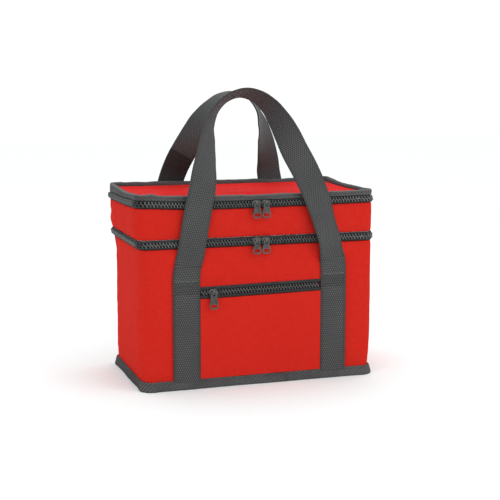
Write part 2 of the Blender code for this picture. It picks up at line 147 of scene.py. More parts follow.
class Finish:
    """A node material built round one Principled shader. Lengths are in metres."""

    def __init__(self, name, **sockets):
        self.made = bpy.data.materials.new(name)
        self.made.use_nodes = True
        self.tree = self.made.node_tree
        self.shader = self.tree.nodes["Principled BSDF"]
        for key, value in sockets.items():
            self.shader.inputs[key.replace("_", " ")].default_value = value

    def put(self, socket, value):
        if isinstance(value, bpy.types.NodeSocket):
            self.tree.links.new(value, socket)
        else:
            socket.default_value = value

    def node(self, kind, *values, **settings):
        made = self.tree.nodes.new("ShaderNode" + kind)
        for key, value in settings.items():
            setattr(made, key, value)
        for socket, value in zip(made.inputs, values):
            if value is not None:
                self.put(socket, value)
        return made

    def calc(self, operation, *values):
        return self.node("Math", *values, operation=operation).outputs[0]

    def plus(self, first, second):
        return self.calc("ADD", first, second)

    def times(self, first, second):
        return self.calc("MULTIPLY", first, second)

    def over(self, first, second):
        return self.calc("DIVIDE", first, second)

    def cloth(self):
        """The cloth's own two directions, along and across, in metres."""
        where = self.node("UVMap", uv_map="cloth").outputs[0]
        parts = self.node("SeparateXYZ", where).outputs
        return parts[0], parts[1]

    def at(self, x, y, z):
        return self.node("CombineXYZ", x, y, z).outputs[0]

    def place(self):
        return self.node("TexCoord").outputs["Object"]

    def noise(self, where, scale, detail=2.0, rough=0.5):
        made = self.node("TexNoise")
        self.put(made.inputs["Vector"], where)
        self.put(made.inputs["Scale"], scale)
        self.put(made.inputs["Detail"], detail)
        self.put(made.inputs["Roughness"], rough)
        return made.outputs[0]

    def spread(self, value, low, high, to_low=0.0, to_high=1.0):
        """A value from low to high, carried over to the range from to_low to to_high."""
        return self.node("MapRange", value, low, high, to_low, to_high).outputs[0]

    def mix(self, share, first, second):
        made = self.node("Mix", data_type="RGBA")
        self.put(made.inputs[0], share)
        self.put(made.inputs[6], first)
        self.put(made.inputs[7], second)
        return made.outputs[2]

    def hump(self, value):
        """A thread's round back across one whole number of its pitch."""
        share = self.calc("FRACT", value)
        centred = self.calc("MULTIPLY_ADD", share, 2.0, -1.0)
        return self.calc("SUBTRACT", 1.0, self.calc("MULTIPLY", centred, centred))

    def colour(self, value):
        self.put(self.shader.inputs["Base Color"], value)

    def rough(self, value):
        self.put(self.shader.inputs["Roughness"], value)

    def bump(self, height, strength, distance):
        made = self.node("Bump")
        self.put(made.inputs["Height"], height)
        self.put(made.inputs["Strength"], strength)
        self.put(made.inputs["Distance"], distance)
        self.put(self.shader.inputs["Normal"], made.outputs[0])


def rgb(red, green, blue):
    return (red, green, blue, 1.0)


def plain_weave(finish, pitch_along, pitch_across):
    """The height of threads that go over and under each other."""
    along, across = finish.cloth()
    first = finish.over(along, pitch_along)
    second = finish.over(across, pitch_across)
    cells = finish.plus(finish.calc("FLOOR", first), finish.calc("FLOOR", second))
    on_top = finish.calc("FLOORED_MODULO", cells, 2.0)
    warp = finish.hump(first)
    weft = finish.hump(second)
    over = finish.times(on_top, finish.times(warp, finish.calc("POWER", weft, 0.4)))
    hidden = finish.calc("SUBTRACT", 1.0, on_top)
    under = finish.times(hidden, finish.times(weft, finish.calc("POWER", warp, 0.4)))
    return finish.plus(over, under)


def slubs(finish, fine, long):
    """Uneven threads along both directions of a cloth."""
    along, across = finish.cloth()
    first = finish.noise(finish.at(finish.over(along, long), finish.over(across, fine), 0.0), 1.0, 1.0)
    second = finish.noise(finish.at(finish.over(along, fine), finish.over(across, long), 5.0), 1.0, 1.0)
    return finish.plus(first, second)


def polyester(name, deep, base, light, sheen):
    """Coated 600 denier polyester: a fine plain weave with slubs and a little sheen."""
    finish = Finish(name, Roughness=0.9, Specular_IOR_Level=0.01, Sheen_Weight=sheen, Sheen_Roughness=0.5)
    finish.shader.inputs["Sheen Tint"].default_value = rgb(1.0, 0.2, 0.17)
    height = plain_weave(finish, 0.75 * MM, 0.7 * MM)
    uneven = slubs(finish, 0.9 * MM, 12 * MM)
    broad = finish.noise(finish.place(), 14.0, 3.0)
    tone = finish.mix(finish.spread(height, 0.1, 0.9), deep, base)
    tone = finish.mix(finish.spread(uneven, 0.85, 1.25, 0.0, 0.38), tone, light)
    tone = finish.mix(finish.spread(broad, 0.35, 0.7, 0.0, 0.22), tone, deep)
    finish.colour(tone)
    finish.rough(finish.spread(uneven, 0.8, 1.3, 0.78, 0.64))
    relief = finish.calc("MULTIPLY_ADD", uneven, 0.5, height)
    finish.bump(relief, 0.35, 0.12 * MM)
    return finish.made


def webbing_finish(name, dark, base, light):
    """Polypropylene webbing: staggered dots over deep valleys, plain ribs along both edges."""
    finish = Finish(name, Roughness=0.62, Specular_IOR_Level=0.3, Sheen_Weight=0.03, Sheen_Roughness=0.4)
    along, across = finish.cloth()
    column = finish.plus(finish.over(across, COLUMN), 0.5)
    odd = finish.times(finish.calc("FLOORED_MODULO", finish.calc("FLOOR", column), 2.0), 0.5)
    row = finish.plus(finish.over(along, 2 * WEAVE), 0.5)
    centre = finish.calc("ABSOLUTE", finish.calc("SUBTRACT", across, WEBBING_WIDTH / 2))
    half = WEBBING_WIDTH / 2
    edge = finish.spread(centre, RIBS_FROM * half, (RIBS_FROM + 0.06) * half)
    ribs = finish.hump(finish.plus(finish.over(along, WEAVE), 0.5))
    backs = finish.calc("POWER", finish.hump(column), 0.5)
    dots = finish.times(backs, finish.hump(finish.plus(row, odd)))
    dots = finish.calc("MULTIPLY_ADD", ribs, 0.42, finish.times(dots, 0.62))
    plain = finish.calc("MULTIPLY_ADD", ribs, 0.5, 0.18)
    height = finish.node("Mix", edge, None, dots, plain, data_type="FLOAT").outputs[0]
    threads = finish.at(finish.over(along, 2.2 * MM), finish.over(across, 0.3 * MM), 0.0)
    fine = finish.noise(threads, 1.0, 2.0)
    broad = finish.noise(finish.place(), 22.0, 3.0)
    tone = finish.mix(finish.spread(height, 0.05, 0.5), dark, base)
    tone = finish.mix(finish.spread(height, 0.5, 0.9, 0.0, 0.85), tone, light)
    tone = finish.mix(finish.spread(broad, 0.35, 0.75, 0.0, 0.25), tone, dark)
    tone = finish.mix(finish.spread(fine, 0.35, 0.75, 0.0, 0.2), tone, light)
    finish.colour(tone)
    finish.rough(finish.spread(fine, 0.3, 0.7, 0.5, 0.74))
    finish.bump(finish.calc("MULTIPLY_ADD", fine, 0.3, height), 0.8, 0.35 * MM)
    return finish.made


def ribbed_tape(name, dark, base, light, pitch, slant, teeth_shade_from, pale=None):
    """Tape with slanting ribs, painted dark as shade where it lies under the teeth, and with a painted
    highlight along a fold when pale is given.
    """
    finish = Finish(name, Roughness=0.66, Specular_IOR_Level=0.15)
    along, across = finish.cloth()
    ribs = finish.hump(finish.over(finish.calc("MULTIPLY_ADD", across, slant, along), pitch))
    threads = finish.hump(finish.over(across, 0.62 * MM))
    fine = slubs(finish, 0.5 * MM, 6 * MM)
    broad = finish.noise(finish.place(), 35.0, 2.0)
    height = finish.calc("MULTIPLY_ADD", threads, 0.2, ribs)
    tone = finish.mix(finish.spread(height, 0.15, 1.0), dark, base)
    tone = finish.mix(finish.spread(fine, 0.9, 1.35, 0.0, 0.55), tone, light)
    tone = finish.mix(finish.spread(broad, 0.4, 0.75, 0.0, 0.3), tone, dark)
    # Painted highlight: a pale band along the tape's upper fold, standing in for light from above.
    if pale:
        rising = finish.spread(across, pale[0], pale[0] + 0.6 * MM, 0.0, 0.75)
        falling = finish.spread(across, pale[1], pale[1] + 0.6 * MM, 1.0, 0.0)
        tone = finish.mix(finish.times(rising, falling), tone, rgb(0.16, 0.155, 0.155))
    # Painted shade: the tape turns near black under and between the teeth.
    under = finish.spread(across, teeth_shade_from, teeth_shade_from + 0.6 * MM, 0.0, 0.92)
    finish.colour(finish.mix(under, tone, rgb(0.004, 0.004, 0.004)))
    finish.rough(finish.spread(fine, 0.8, 1.3, 0.72, 0.52))
    finish.bump(height, 0.7, 0.25 * MM)
    return finish.made


def gunmetal(name):
    """Painted die-cast zip parts, with a painted highlight on their edges, broken up by noise, and on faces
    that look up.
    """
    finish = Finish(name, Metallic=0.1, Specular_IOR_Level=0.5)
    cast = finish.noise(finish.place(), 900.0, 3.0)
    worn = finish.noise(finish.place(), 260.0, 4.0, 0.6)
    # Painted highlight: edges, where the bevelled normal turns away from the face's own, are lightened,
    # broken up by noise, and so are faces that look up.
    edges = finish.node("Bevel", samples=4)
    finish.put(edges.inputs["Radius"], 0.5 * MM)
    flat = finish.node("NewGeometry").outputs["Normal"]
    turned = finish.node("VectorMath", edges.outputs[0], flat, operation="DOT_PRODUCT")
    edge_mask = finish.spread(turned.outputs["Value"], 0.98, 0.85)
    edge_highlight = finish.times(edge_mask, finish.spread(worn, 0.25, 0.55))
    faces_up = finish.node("SeparateXYZ", flat).outputs["Z"]
    edge = finish.calc("MAXIMUM", edge_highlight, finish.spread(faces_up, 0.3, 0.8, 0.0, 0.8))
    tone = finish.mix(finish.spread(worn, 0.3, 0.7), rgb(0.022, 0.024, 0.022), rgb(0.065, 0.068, 0.064))
    # The pale grey mixed in here is the painted highlight.
    finish.colour(finish.mix(edge, tone, rgb(0.24, 0.25, 0.23)))
    finish.rough(finish.spread(cast, 0.3, 0.7, 0.3, 0.48))
    finish.bump(cast, 0.15, 0.05 * MM)
    return finish.made


def teeth_finish(name):
    """Moulded teeth: dark, glossy, a little uneven from tooth to tooth, with painted shade on the left side
    and along the middles of the front and back.
    """
    finish = Finish(name, Specular_IOR_Level=0.45)
    uneven = finish.noise(finish.place(), 420.0, 2.0)
    tone = finish.mix(finish.spread(uneven, 0.3, 0.7), rgb(0.055, 0.058, 0.058), rgb(0.18, 0.185, 0.18))
    # Painted shade: teeth on the left side, which turns away from the light, are darkened, and so are those
    # along the middles of the front and back, so that the teeth near the corners read as lit.
    across = finish.node("SeparateXYZ", finish.place()).outputs["X"]
    side = finish.spread(across, -141 * MM, -136 * MM, 0.85, 0.0)
    middle = finish.spread(finish.calc("ABSOLUTE", across), 60 * MM, 118 * MM, 0.5, 0.0)
    tone = finish.mix(middle, tone, rgb(0.03, 0.032, 0.032))
    finish.colour(finish.mix(side, tone, rgb(0.02, 0.021, 0.021)))
    finish.rough(finish.spread(uneven, 0.3, 0.7, 0.22, 0.4))
    finish.bump(uneven, 0.1, 0.05 * MM)
    return finish.made


def foil_finish(name):
    """Aluminised film with fine creases."""
    finish = Finish(name, Metallic=0.75, Specular_IOR_Level=0.5)
    creases = finish.node("TexVoronoi", feature="DISTANCE_TO_EDGE")
    finish.put(creases.inputs["Vector"], finish.place())
    finish.put(creases.inputs["Scale"], 34.0)
    crease = finish.spread(creases.outputs["Distance"], 0.0, 0.35)
    fine = finish.noise(finish.place(), 180.0, 4.0)
    finish.colour(finish.mix(finish.spread(fine, 0.3, 0.7), rgb(0.62, 0.63, 0.65), rgb(0.8, 0.81, 0.83)))
    finish.rough(finish.spread(fine, 0.3, 0.7, 0.24, 0.42))
    finish.bump(finish.calc("MULTIPLY_ADD", fine, 0.9, crease), 0.3, 0.8 * MM)
    return finish.made


def foam_finish(name):
    """Closed-cell foam board."""
    finish = Finish(name, Specular_IOR_Level=0.3, Roughness=0.85)
    cells = finish.node("TexVoronoi", feature="F1")
    finish.put(cells.inputs["Vector"], finish.place())
    finish.put(cells.inputs["Scale"], 900.0)
    cell = cells.outputs["Distance"]
    broad = finish.noise(finish.place(), 40.0, 3.0)
    tone = finish.mix(finish.spread(cell, 0.1, 0.6), rgb(0.8, 0.8, 0.77), rgb(0.9, 0.9, 0.88))
    finish.colour(finish.mix(finish.spread(broad, 0.4, 0.7, 0.0, 0.4), tone, rgb(0.74, 0.74, 0.7)))
    finish.rough(finish.spread(cell, 0.1, 0.6, 0.8, 0.92))
    finish.bump(cell, 0.5, 0.3 * MM)
    return finish.made


def thread_finish(name, dark, light):
    """Twisted sewing thread."""
    finish = Finish(name, Roughness=0.6, Specular_IOR_Level=0.5)
    plies = finish.noise(finish.place(), 2400.0, 2.0)
    finish.colour(finish.mix(finish.spread(plies, 0.35, 0.65), dark, light))
    finish.bump(plies, 0.4, 0.08 * MM)
    return finish.made


def tones(*colours):
    """Dark, base and light: three greys, or three triples of red, green and blue."""
    return [rgb(*(tone if isinstance(tone, tuple) else (tone, tone, tone))) for tone in colours]


RED = polyester(
    "red_polyester", *tones((0.50, 0.015, 0.010), (0.59, 0.023, 0.015), (0.65, 0.034, 0.022)), 0.0
)
# Painted light: the lid's fabric is a lighter, pinker copy of the red, for the top that faces up into the
# light, and for its sheen.
LIT_LID_RED = polyester(
    "lid_polyester_painted_light", *tones((0.55, 0.010, 0.010), (0.70, 0.020, 0.020), (0.80, 0.04, 0.038)), 0.1
)
STRAP = webbing_finish("webbing", *tones((0.008, 0.008, 0.009), (0.027, 0.027, 0.028), (0.125, 0.125, 0.127)))
BACK_STRAP = webbing_finish(
    "back_webbing", *tones((0.007, 0.008, 0.009), (0.030, 0.034, 0.035), (0.115, 0.125, 0.127))
)
# Painted shade: a much darker copy of the webbing, for the shaded inside of the back handle's left leg.
SHADED_DOUBLED = webbing_finish(
    "doubled_webbing_painted_shade", *tones((0.004, 0.005, 0.005), (0.013, 0.015, 0.016), (0.035, 0.040, 0.041))
)

# A tape is painted near black, as shade, from one distance across it, where it lies under the teeth; the
# value below is past the edge of any tape, so a tape without teeth gets no such shade
NO_TEETH_SHADE = 4.0
FINE_RIBS = 1.1 * MM
BINDING = ribbed_tape("binding_tape", *tones(0.003, 0.095, 0.12), RIB_PITCH, -0.8, NO_TEETH_SHADE)
# The rim tape has a painted highlight along its upper fold.
RIM = ribbed_tape(
    "rim_tape", *tones(0.004, (0.10, 0.098, 0.098), (0.13, 0.125, 0.125)), RIB_PITCH, 0.9, NO_TEETH_SHADE, RIM_FOLD_HIGHLIGHT
)
ZIP_TAPE = ribbed_tape(
    "zip_tape", *tones((0.008, 0.009, 0.010), (0.030, 0.032, 0.034), (0.075, 0.077, 0.08)),
    FINE_RIBS, 1.0, 3.2 * MM,
)
POCKET_TAPE = ribbed_tape(
    "pocket_zip_tape", *tones((0.010, 0.011, 0.012), (0.038, 0.040, 0.042), (0.10, 0.103, 0.105)),
    FINE_RIBS, 1.0, 3.5 * MM,
)
BASE_CLOTH = ribbed_tape(
    "base_cloth", *tones((0.008, 0.008, 0.009), (0.022, 0.022, 0.024), (0.05, 0.05, 0.052)),
    0.8 * MM, 0.0, NO_TEETH_SHADE,
)
METAL = gunmetal("gunmetal")
TEETH = teeth_finish("zip_teeth")
FOIL = foil_finish("foil")
FOAM = foam_finish("foam")
DARK_THREAD = thread_finish("dark_thread", *tones((0.012, 0.012, 0.013), (0.045, 0.045, 0.047)))
PALE_THREAD = thread_finish("pale_thread", *tones(0.10, (0.30, 0.30, 0.29)))
RED_THREAD = thread_finish("red_thread", *tones((0.35, 0.012, 0.010), (0.7, 0.04, 0.035)))


# ---------------------------------------------------------------- mesh helpers

def ripple(first, second, seed, size):
    """Soft uneven waves between about -1 and 1 over two lengths, the same every run."""
    waves = 9
    draw = np.random.default_rng(seed)
    total = np.zeros(np.broadcast(first, second).shape)
    for _ in range(waves):
        turn = draw.uniform(0, 2 * math.pi)
        length = size * draw.uniform(0.6, 1.8)
        phase = draw.uniform(0, 2 * math.pi)
        travel = first * math.cos(turn) + second * math.sin(turn)
        total = total + np.sin(2 * math.pi * travel / length + phase)
    return total / math.sqrt(waves) / 1.4


def smooth_step(value, low, high):
    """0 below low, 1 above high and an even S between."""
    share = np.clip((value - low) / (high - low), 0, 1)
    return share * share * (3 - 2 * share)


def bell(value, middle, width):
    """1 at the middle, falling away smoothly on both sides."""
    return np.exp(-((value - middle) / width) ** 2)


def wobble(travel, seed, size):
    """Soft uneven waves along one length."""
    return ripple(travel, travel * 0, seed, size)


def new_object(name, data):
    """A new object for a mesh, a light or a camera."""
    made = bpy.data.objects.new(name, data)
    bpy.context.collection.objects.link(made)
    return made


def tube_faces(first, rows, sides):
    """Faces of a tube of rings of points, with a cap at each end."""
    faces = []
    for row in range(rows - 1):
        for k in range(sides):
            a = first + row * sides + k
            b = first + row * sides + (k + 1) % sides
            faces.append((a, b, b + sides, a + sides))
    last = first + (rows - 1) * sides
    return faces + [tuple(range(first, first + sides)), tuple(range(last, last + sides))]


def sheet_grid(name, outer, inner, xs, zs):
    """Red cloth with two faces, given its outer and inner points over a grid."""
    points = np.concatenate([outer, inner[:, ::-1]], axis=1)
    across = np.concatenate([zs, zs[::-1] + 1.0, [zs[0]]])
    return grid(name, points, xs, across, RED, wrap_v=True)


def make(name, verts, faces, finish, uvs=None):
    """An object with smooth, outward faces. uvs has one pair for each corner of each face."""
    mesh = bpy.data.meshes.new(name)
    mesh.from_pydata([tuple(v) for v in verts], [], [tuple(f) for f in faces])
    if uvs is not None:
        layer = mesh.uv_layers.new(name="cloth")
        layer.data.foreach_set("uv", np.asarray(uvs, np.float32).ravel())
    bm = bmesh.new()
    bm.from_mesh(mesh)
    bmesh.ops.recalc_face_normals(bm, faces=bm.faces)
    bm.to_mesh(mesh)
    bm.free()
    mesh.materials.append(finish)
    mesh.shade_smooth()
    mesh.set_sharp_from_angle(angle=math.radians(50))
    return new_object(name, mesh)


def grid_faces(count_u, count_v, wrap_u, wrap_v):
    """Quads of a grid of points, and the grid step of each of their corners."""
    us = np.arange(count_u if wrap_u else count_u - 1)
    vs = np.arange(count_v if wrap_v else count_v - 1)
    u, v = (a.ravel() for a in np.meshgrid(us, vs, indexing="ij"))
    steps = [(u, v), (u + 1, v), (u + 1, v + 1), (u, v + 1)]
    faces = np.stack([(a % count_u) * count_v + b % count_v for a, b in steps], axis=1)
    return faces, np.stack([np.stack(pair, axis=1) for pair in steps], axis=1)


def grid(name, points, along, across, finish, wrap_u=False, wrap_v=False):
    """A surface through a grid of points; along and across are the cloth's lengths at each step."""
    count_u, count_v = points.shape[:2]
    faces, steps = grid_faces(count_u, count_v, wrap_u, wrap_v)
    uvs = np.stack([along[steps[..., 0]], across[steps[..., 1]]], axis=-1).reshape(-1, 2)
    faces = [tuple(face) for face in faces]
    uvs = [tuple(pair) for pair in uvs]

    def cap(ring):
        faces.append(tuple(ring))
        flat = points.reshape(-1, 3)[list(ring)]
        uvs.extend((p[0], p[1] + p[2]) for p in flat)

    if wrap_v and not wrap_u:
        cap(range(count_v))
        cap(range((count_u - 1) * count_v, count_u * count_v))
    if wrap_u and not wrap_v:
        cap([i * count_v for i in range(count_u)])
        cap([i * count_v + count_v - 1 for i in range(count_u)])
    return make(name, points.reshape(-1, 3), faces, finish, uvs)


def lengths(points, wrap=False):
    """Length along a row of points, with one more step where it closes."""
    points = np.asarray(points, float)
    following = np.roll(points, -1, axis=0) if wrap else points[1:]
    here = points if wrap else points[:-1]
    steps = np.linalg.norm(following - here, axis=1)
    return np.concatenate([[0.0], np.cumsum(steps)])


def finer(rows, step):
    """Points set evenly between the corners of a line, keeping every corner."""
    rows = [np.asarray(row, float) for row in rows]
    out = [rows[0]]
    for before, after in zip(rows, rows[1:]):
        count = max(1, int(math.ceil(np.linalg.norm(after[:2] - before[:2]) / step)))
        out += [before + (after - before) * k / count for k in range(1, count + 1)]
    return np.array(out)


def put(piece, body, stands_for=()):
    """Attach a piece to the body it moves with, and hide the CAD nodes it stands for."""
    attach(piece, body)
    if stands_for:
        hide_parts(*stands_for)
    return piece


# ---------------------------------------------------------------- the bag's outline

def outline_knots(inset=0.0):
    """Corner points of the outline at an inset, from the back left corner round the front."""
    arc_steps = 16
    radius = max(RADIUS - inset, SMALLEST_RADIUS)
    half_x = HALF_X - inset
    half_y = HALF_Y - inset
    xs, ys, turns = [], [], []
    for side_x, side_y, first in ((-1, 1, 90), (-1, -1, 180), (1, -1, 270), (1, 1, 360)):
        for step in range(arc_steps + 1):
            turn = math.radians(first + 90 * step / arc_steps)
            xs.append(side_x * (half_x - radius) + radius * math.cos(turn))
            ys.append(side_y * (half_y - radius) + radius * math.sin(turn))
            turns.append(turn)
    close = (xs[0], ys[0], turns[0] + 2 * math.pi)
    return np.array(xs + [close[0]]), np.array(ys + [close[1]]), np.array(turns + [close[2]])


BASE_X, BASE_Y, TURNS = outline_knots()
TRAVEL = lengths(np.stack([BASE_X, BASE_Y], axis=1))
LOOP = TRAVEL[-1]
RUN = TRAVEL[-2]
ARC = math.pi / 2 * RADIUS
SIDE = 2 * (HALF_Y - RADIUS)
FACE = 2 * (HALF_X - RADIUS)


def ring(travel, inset=0.0, out=0.0):
    """x and y at a distance round the outline, at an inset, moved out by a little."""
    xs, ys, _ = outline_knots(inset)
    travel = np.mod(travel, LOOP)
    x = np.interp(travel, TRAVEL, xs)
    y = np.interp(travel, TRAVEL, ys)
    turn = np.interp(travel, TRAVEL, TURNS)
    return x + out * np.cos(turn), y + out * np.sin(turn)


def heading(travel):
    """The outward direction at a distance round the outline."""
    turn = np.interp(np.mod(travel, LOOP), TRAVEL, TURNS)
    return np.cos(turn), np.sin(turn)


def near_corner(travel, reach):
    """1 at the four upright corners, falling to 0 at a distance from them."""
    middles = (ARC / 2, 1.5 * ARC + SIDE, 2.5 * ARC + SIDE + FACE, 3.5 * ARC + 2 * SIDE + FACE)
    apart = np.full(np.shape(travel), 1e9)
    for middle in middles:
        gap = np.abs(np.mod(travel - middle + LOOP / 2, LOOP) - LOOP / 2)
        apart = np.minimum(apart, gap)
    return 1 - smooth_step(apart, ARC / 2, ARC / 2 + reach)


def sweep(name, profile, finish, step, whole, wave):
    """Carry a closed profile of (out, height) points right round the bag, or as far as the zips run.

    wave gives extra (out, height) for each distance and profile point.
    """
    if whole:
        count = int(round(LOOP / step))
        travel = np.arange(count) * LOOP / count
        along = np.append(travel, LOOP)
    else:
        count = int(round(RUN / step)) + 1
        travel = np.linspace(0.0, RUN, count)
        along = travel
    profile = np.asarray(profile, float)
    points = np.zeros((count, len(profile), 3))
    for j, (out, height) in enumerate(profile[:, :2]):
        more_out, more_up = wave(travel, j, profile)
        x, y = ring(travel)
        cos, sin = heading(travel)
        points[:, j, 0] = x + (out + more_out) * cos
        points[:, j, 1] = y + (out + more_out) * sin
        points[:, j, 2] = height + more_up
    across = lengths(profile[:, :2], wrap=True)
    return grid(name, points, along, across, finish, wrap_u=whole, wrap_v=True)


def subdivide(piece):
    """Round a piece off with a subdivision, and keep the result as its mesh."""
    modifier = piece.modifiers.new("round", "SUBSURF")
    modifier.levels = 1
    modifier.render_levels = 1
    shown = piece.evaluated_get(bpy.context.evaluated_depsgraph_get())
    mesh = bpy.data.meshes.new_from_object(shown)
    piece.modifiers.clear()
    piece.data = mesh


# ---------------------------------------------------------------- cloth

def settle(points, wrap_u, held, pressure, slack, bend=0.6, pull_down=0.0):
    """Blow a grid of points out as cloth, held where held is 1, and return where it lies."""
    frames = 20
    count_u, count_v = points.shape[:2]
    faces, _ = grid_faces(count_u, count_v, wrap_u, False)
    mesh = bpy.data.meshes.new("settling")
    mesh.from_pydata([tuple(p) for p in points.reshape(-1, 3)], [], [tuple(f) for f in faces])
    piece = new_object("settling", mesh)
    group = piece.vertex_groups.new(name="held")
    for index, weight in enumerate(held.ravel()):
        if weight > 0:
            group.add([index], float(weight), "REPLACE")
    cloth = piece.modifiers.new("cloth", "CLOTH")
    rules = cloth.settings
    rules.quality = 6
    rules.mass = 0.3
    rules.tension_stiffness = 12
    rules.compression_stiffness = 12
    rules.shear_stiffness = 4
    rules.bending_stiffness = bend
    rules.air_damping = 4
    rules.vertex_group_mass = "held"
    rules.pin_stiffness = 1.0
    rules.shrink_min = -slack
    rules.use_pressure = pressure != 0
    rules.uniform_pressure_force = pressure
    rules.effector_weights.gravity = pull_down
    cloth.collision_settings.use_self_collision = False
    cloth.point_cache.frame_start = 1
    cloth.point_cache.frame_end = frames
    scene = bpy.context.scene
    for moment in range(1, frames + 1):
        scene.frame_set(moment)
    shown = piece.evaluated_get(bpy.context.evaluated_depsgraph_get())
    result = np.array([v.co for v in shown.data.vertices], float).reshape(points.shape)
    scene.frame_set(1)
    bpy.data.objects.remove(piece)
    bpy.data.meshes.remove(mesh)
    return result


def behind_strap(x, margin):
    """1 where a sewn strap lies over an x, 0 away from both."""
    cover = np.zeros(np.shape(x))
    for middle in STRAP_X.values():
        gap = np.abs(x - middle)
        beside = smooth_step(gap, WEBBING_WIDTH / 2 + 1 * MM, WEBBING_WIDTH / 2 + margin)
        cover = np.maximum(cover, 1 - beside)
    return cover


def shell(name, node, body, seed, highest, hem):
    """One red fabric wall: blown out between its seams by the foam behind it."""
    low, high = (corner.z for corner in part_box(node))
    step = 5 * MM
    count_u = int(round(LOOP / step))
    count_v = max(8, int(round((high - low) / step))) + 1
    travel = np.arange(count_u) * LOOP / count_u
    heights = np.linspace(low, high, count_v)
    s, z = np.meshgrid(travel, heights, indexing="ij")
    x, y = ring(s)
    cos, sin = heading(s)
    start = np.stack([x, y, z], axis=-1)
    edge = np.minimum(z - low, high - z)
    held = (edge < step / 2).astype(float)
    held = np.maximum(held, 0.35 * near_corner(s, 6 * MM))
    moved = settle(start, True, held, 5.0, 0.012)
    rise = (moved[..., 0] - x) * cos + (moved[..., 1] - y) * sin
    rise = highest * np.tanh(np.maximum(rise, 0) / highest)
    rise = rise + 0.35 * MM * ripple(s * 1.2, z * 0.7, seed + 1, 34 * MM) * (1 - np.exp(-edge / (8 * MM)))
    flat = np.abs(y) > HALF_Y - RADIUS / 2
    below_fold = 1 - smooth_step(z, THIRD_FOLD, THIRD_FOLD + 14 * MM)
    over = np.where(flat, behind_strap(x, 9 * MM) * below_fold, 0.0)
    pocket = (y < -HALF_Y + RADIUS / 2) & (x > STRAP_X["left"]) & (x < STRAP_X["right"])
    over = np.maximum(over, np.where(pocket, 1 - smooth_step(z, 121 * MM, 132 * MM), 0.0))
    over = np.maximum(over, 1 - smooth_step(z, BASE_TOP, BASE_TOP + 9 * MM))
    rise = np.clip(rise, 0, highest) * (1 - over)
    rise = rise + hem * bell(edge, 2.5 * MM, 1.6 * MM) * (1 - over)
    outer = np.stack([x + rise * cos, y + rise * sin, z], axis=-1)
    thick = 1.1 * MM
    inner = np.stack([x - thick * cos, y - thick * sin, z], axis=-1)
    inner[..., 0] += np.minimum(rise, 0.2 * MM) * cos
    points = np.concatenate([outer, inner[:, ::-1]], axis=1)
    across = np.concatenate([heights, heights[::-1] + 1.0, [heights[0]]])
    piece = grid(name, points, np.append(travel, LOOP), across, RED, wrap_u=True, wrap_v=True)
    subdivide(piece)
    put(piece, body, (node,))


shell("main_wall_fabric", "main_shell", "main_body", 11, 2.6 * MM, 0.35 * MM)
shell("deck_wall_fabric", "deck_shell", "deck", 23, 2.4 * MM, 0.35 * MM)


def lid_cushion():
    """The lid's top: foam under fabric that hangs a little between the bound edges."""
    low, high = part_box("lid_panel")
    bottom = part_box("lid_foam")[0].z
    step = 5 * MM
    count_x = int(round((high.x - low.x) / step)) + 1
    count_y = int(round((high.y - low.y) / step)) + 1
    xs = np.linspace(low.x, high.x, count_x)
    ys = np.linspace(low.y, high.y, count_y)
    x, y = np.meshgrid(xs, ys, indexing="ij")
    radius = RADIUS - 3 * MM
    over_x = np.maximum(np.abs(x) - (high.x - radius), 0)
    over_y = np.maximum(np.abs(y) - (high.y - radius), 0)
    reach = np.hypot(over_x, over_y)
    shrink = np.where(reach > radius, radius / np.maximum(reach, 1e-9), 1.0)
    x = np.where(over_x > 0, np.sign(x) * (high.x - radius + over_x * shrink), x)
    y = np.where(over_y > 0, np.sign(y) * (high.y - radius + over_y * shrink), y)
    edge = np.minimum(high.x - np.abs(x), high.y - np.abs(y))
    rim = high.z + 1.6 * MM
    top = np.stack([x, y, np.full(x.shape, rim)], axis=-1)
    held = (edge < step / 2).astype(float)
    moved = settle(top, False, held, 0.0, 0.015, bend=0.4, pull_down=1.0)
    drop = np.clip(rim - moved[..., 2], -1.0 * MM, 8 * MM)
    drop = 3.0 * MM * np.tanh(drop / (3.0 * MM))
    drop = drop + 0.35 * MM * ripple(x, y * 1.6, 5, 60 * MM) * smooth_step(edge, 0, 12 * MM)
    dent = bell(y + 0.35 * x, -18 * MM, 9 * MM) * smooth_step(x, 0, 60 * MM)
    drop = drop + 1.0 * MM * dent * smooth_step(edge, 0, 14 * MM)
    crease = y + 46 * MM + 0.38 * (x - 40 * MM)
    along_crease = smooth_step(x, -55 * MM, 10 * MM) * (1 - smooth_step(x, 78 * MM, 100 * MM))
    drop = drop - 1.6 * MM * bell(crease, 9 * MM, 9 * MM) * along_crease
    drop = drop + 1.9 * MM * bell(crease, -4 * MM, 7 * MM) * along_crease * smooth_step(edge, 0, 8 * MM)
    top[..., 2] = rim - np.clip(drop, -0.6 * MM, 3.9 * MM)
    under = np.stack([x, y, np.full(x.shape, bottom + 0.2 * MM)], axis=-1)
    verts = np.concatenate([top.reshape(-1, 3), under.reshape(-1, 3)])
    faces, _ = grid_faces(count_x, count_y, False, False)
    total = count_x * count_y
    all_faces = [tuple(f) for f in faces] + [tuple(f[::-1] + total) for f in faces]
    around = [i * count_y for i in range(count_x)]
    around += [(count_x - 1) * count_y + j for j in range(1, count_y)]
    around += [i * count_y + count_y - 1 for i in range(count_x - 2, -1, -1)]
    around += list(range(count_y - 2, 0, -1))
    for a, b in zip(around, around[1:] + around[:1]):
        all_faces.append((a, b, b + total, a + total))
    uvs = []
    for face in all_faces:
        uvs += [(verts[i][0], verts[i][1]) for i in face]
    # The lid's top uses the lighter copy of the red, which is painted light.
    piece = make("lid_cushion", verts, all_faces, LIT_LID_RED, uvs)
    subdivide(piece)
    put(piece, "lid", ("lid_panel", "lid_foam"))


lid_cushion()


# ---------------------------------------------------------------- stitches

STITCH_PITCH = 3.2 * MM


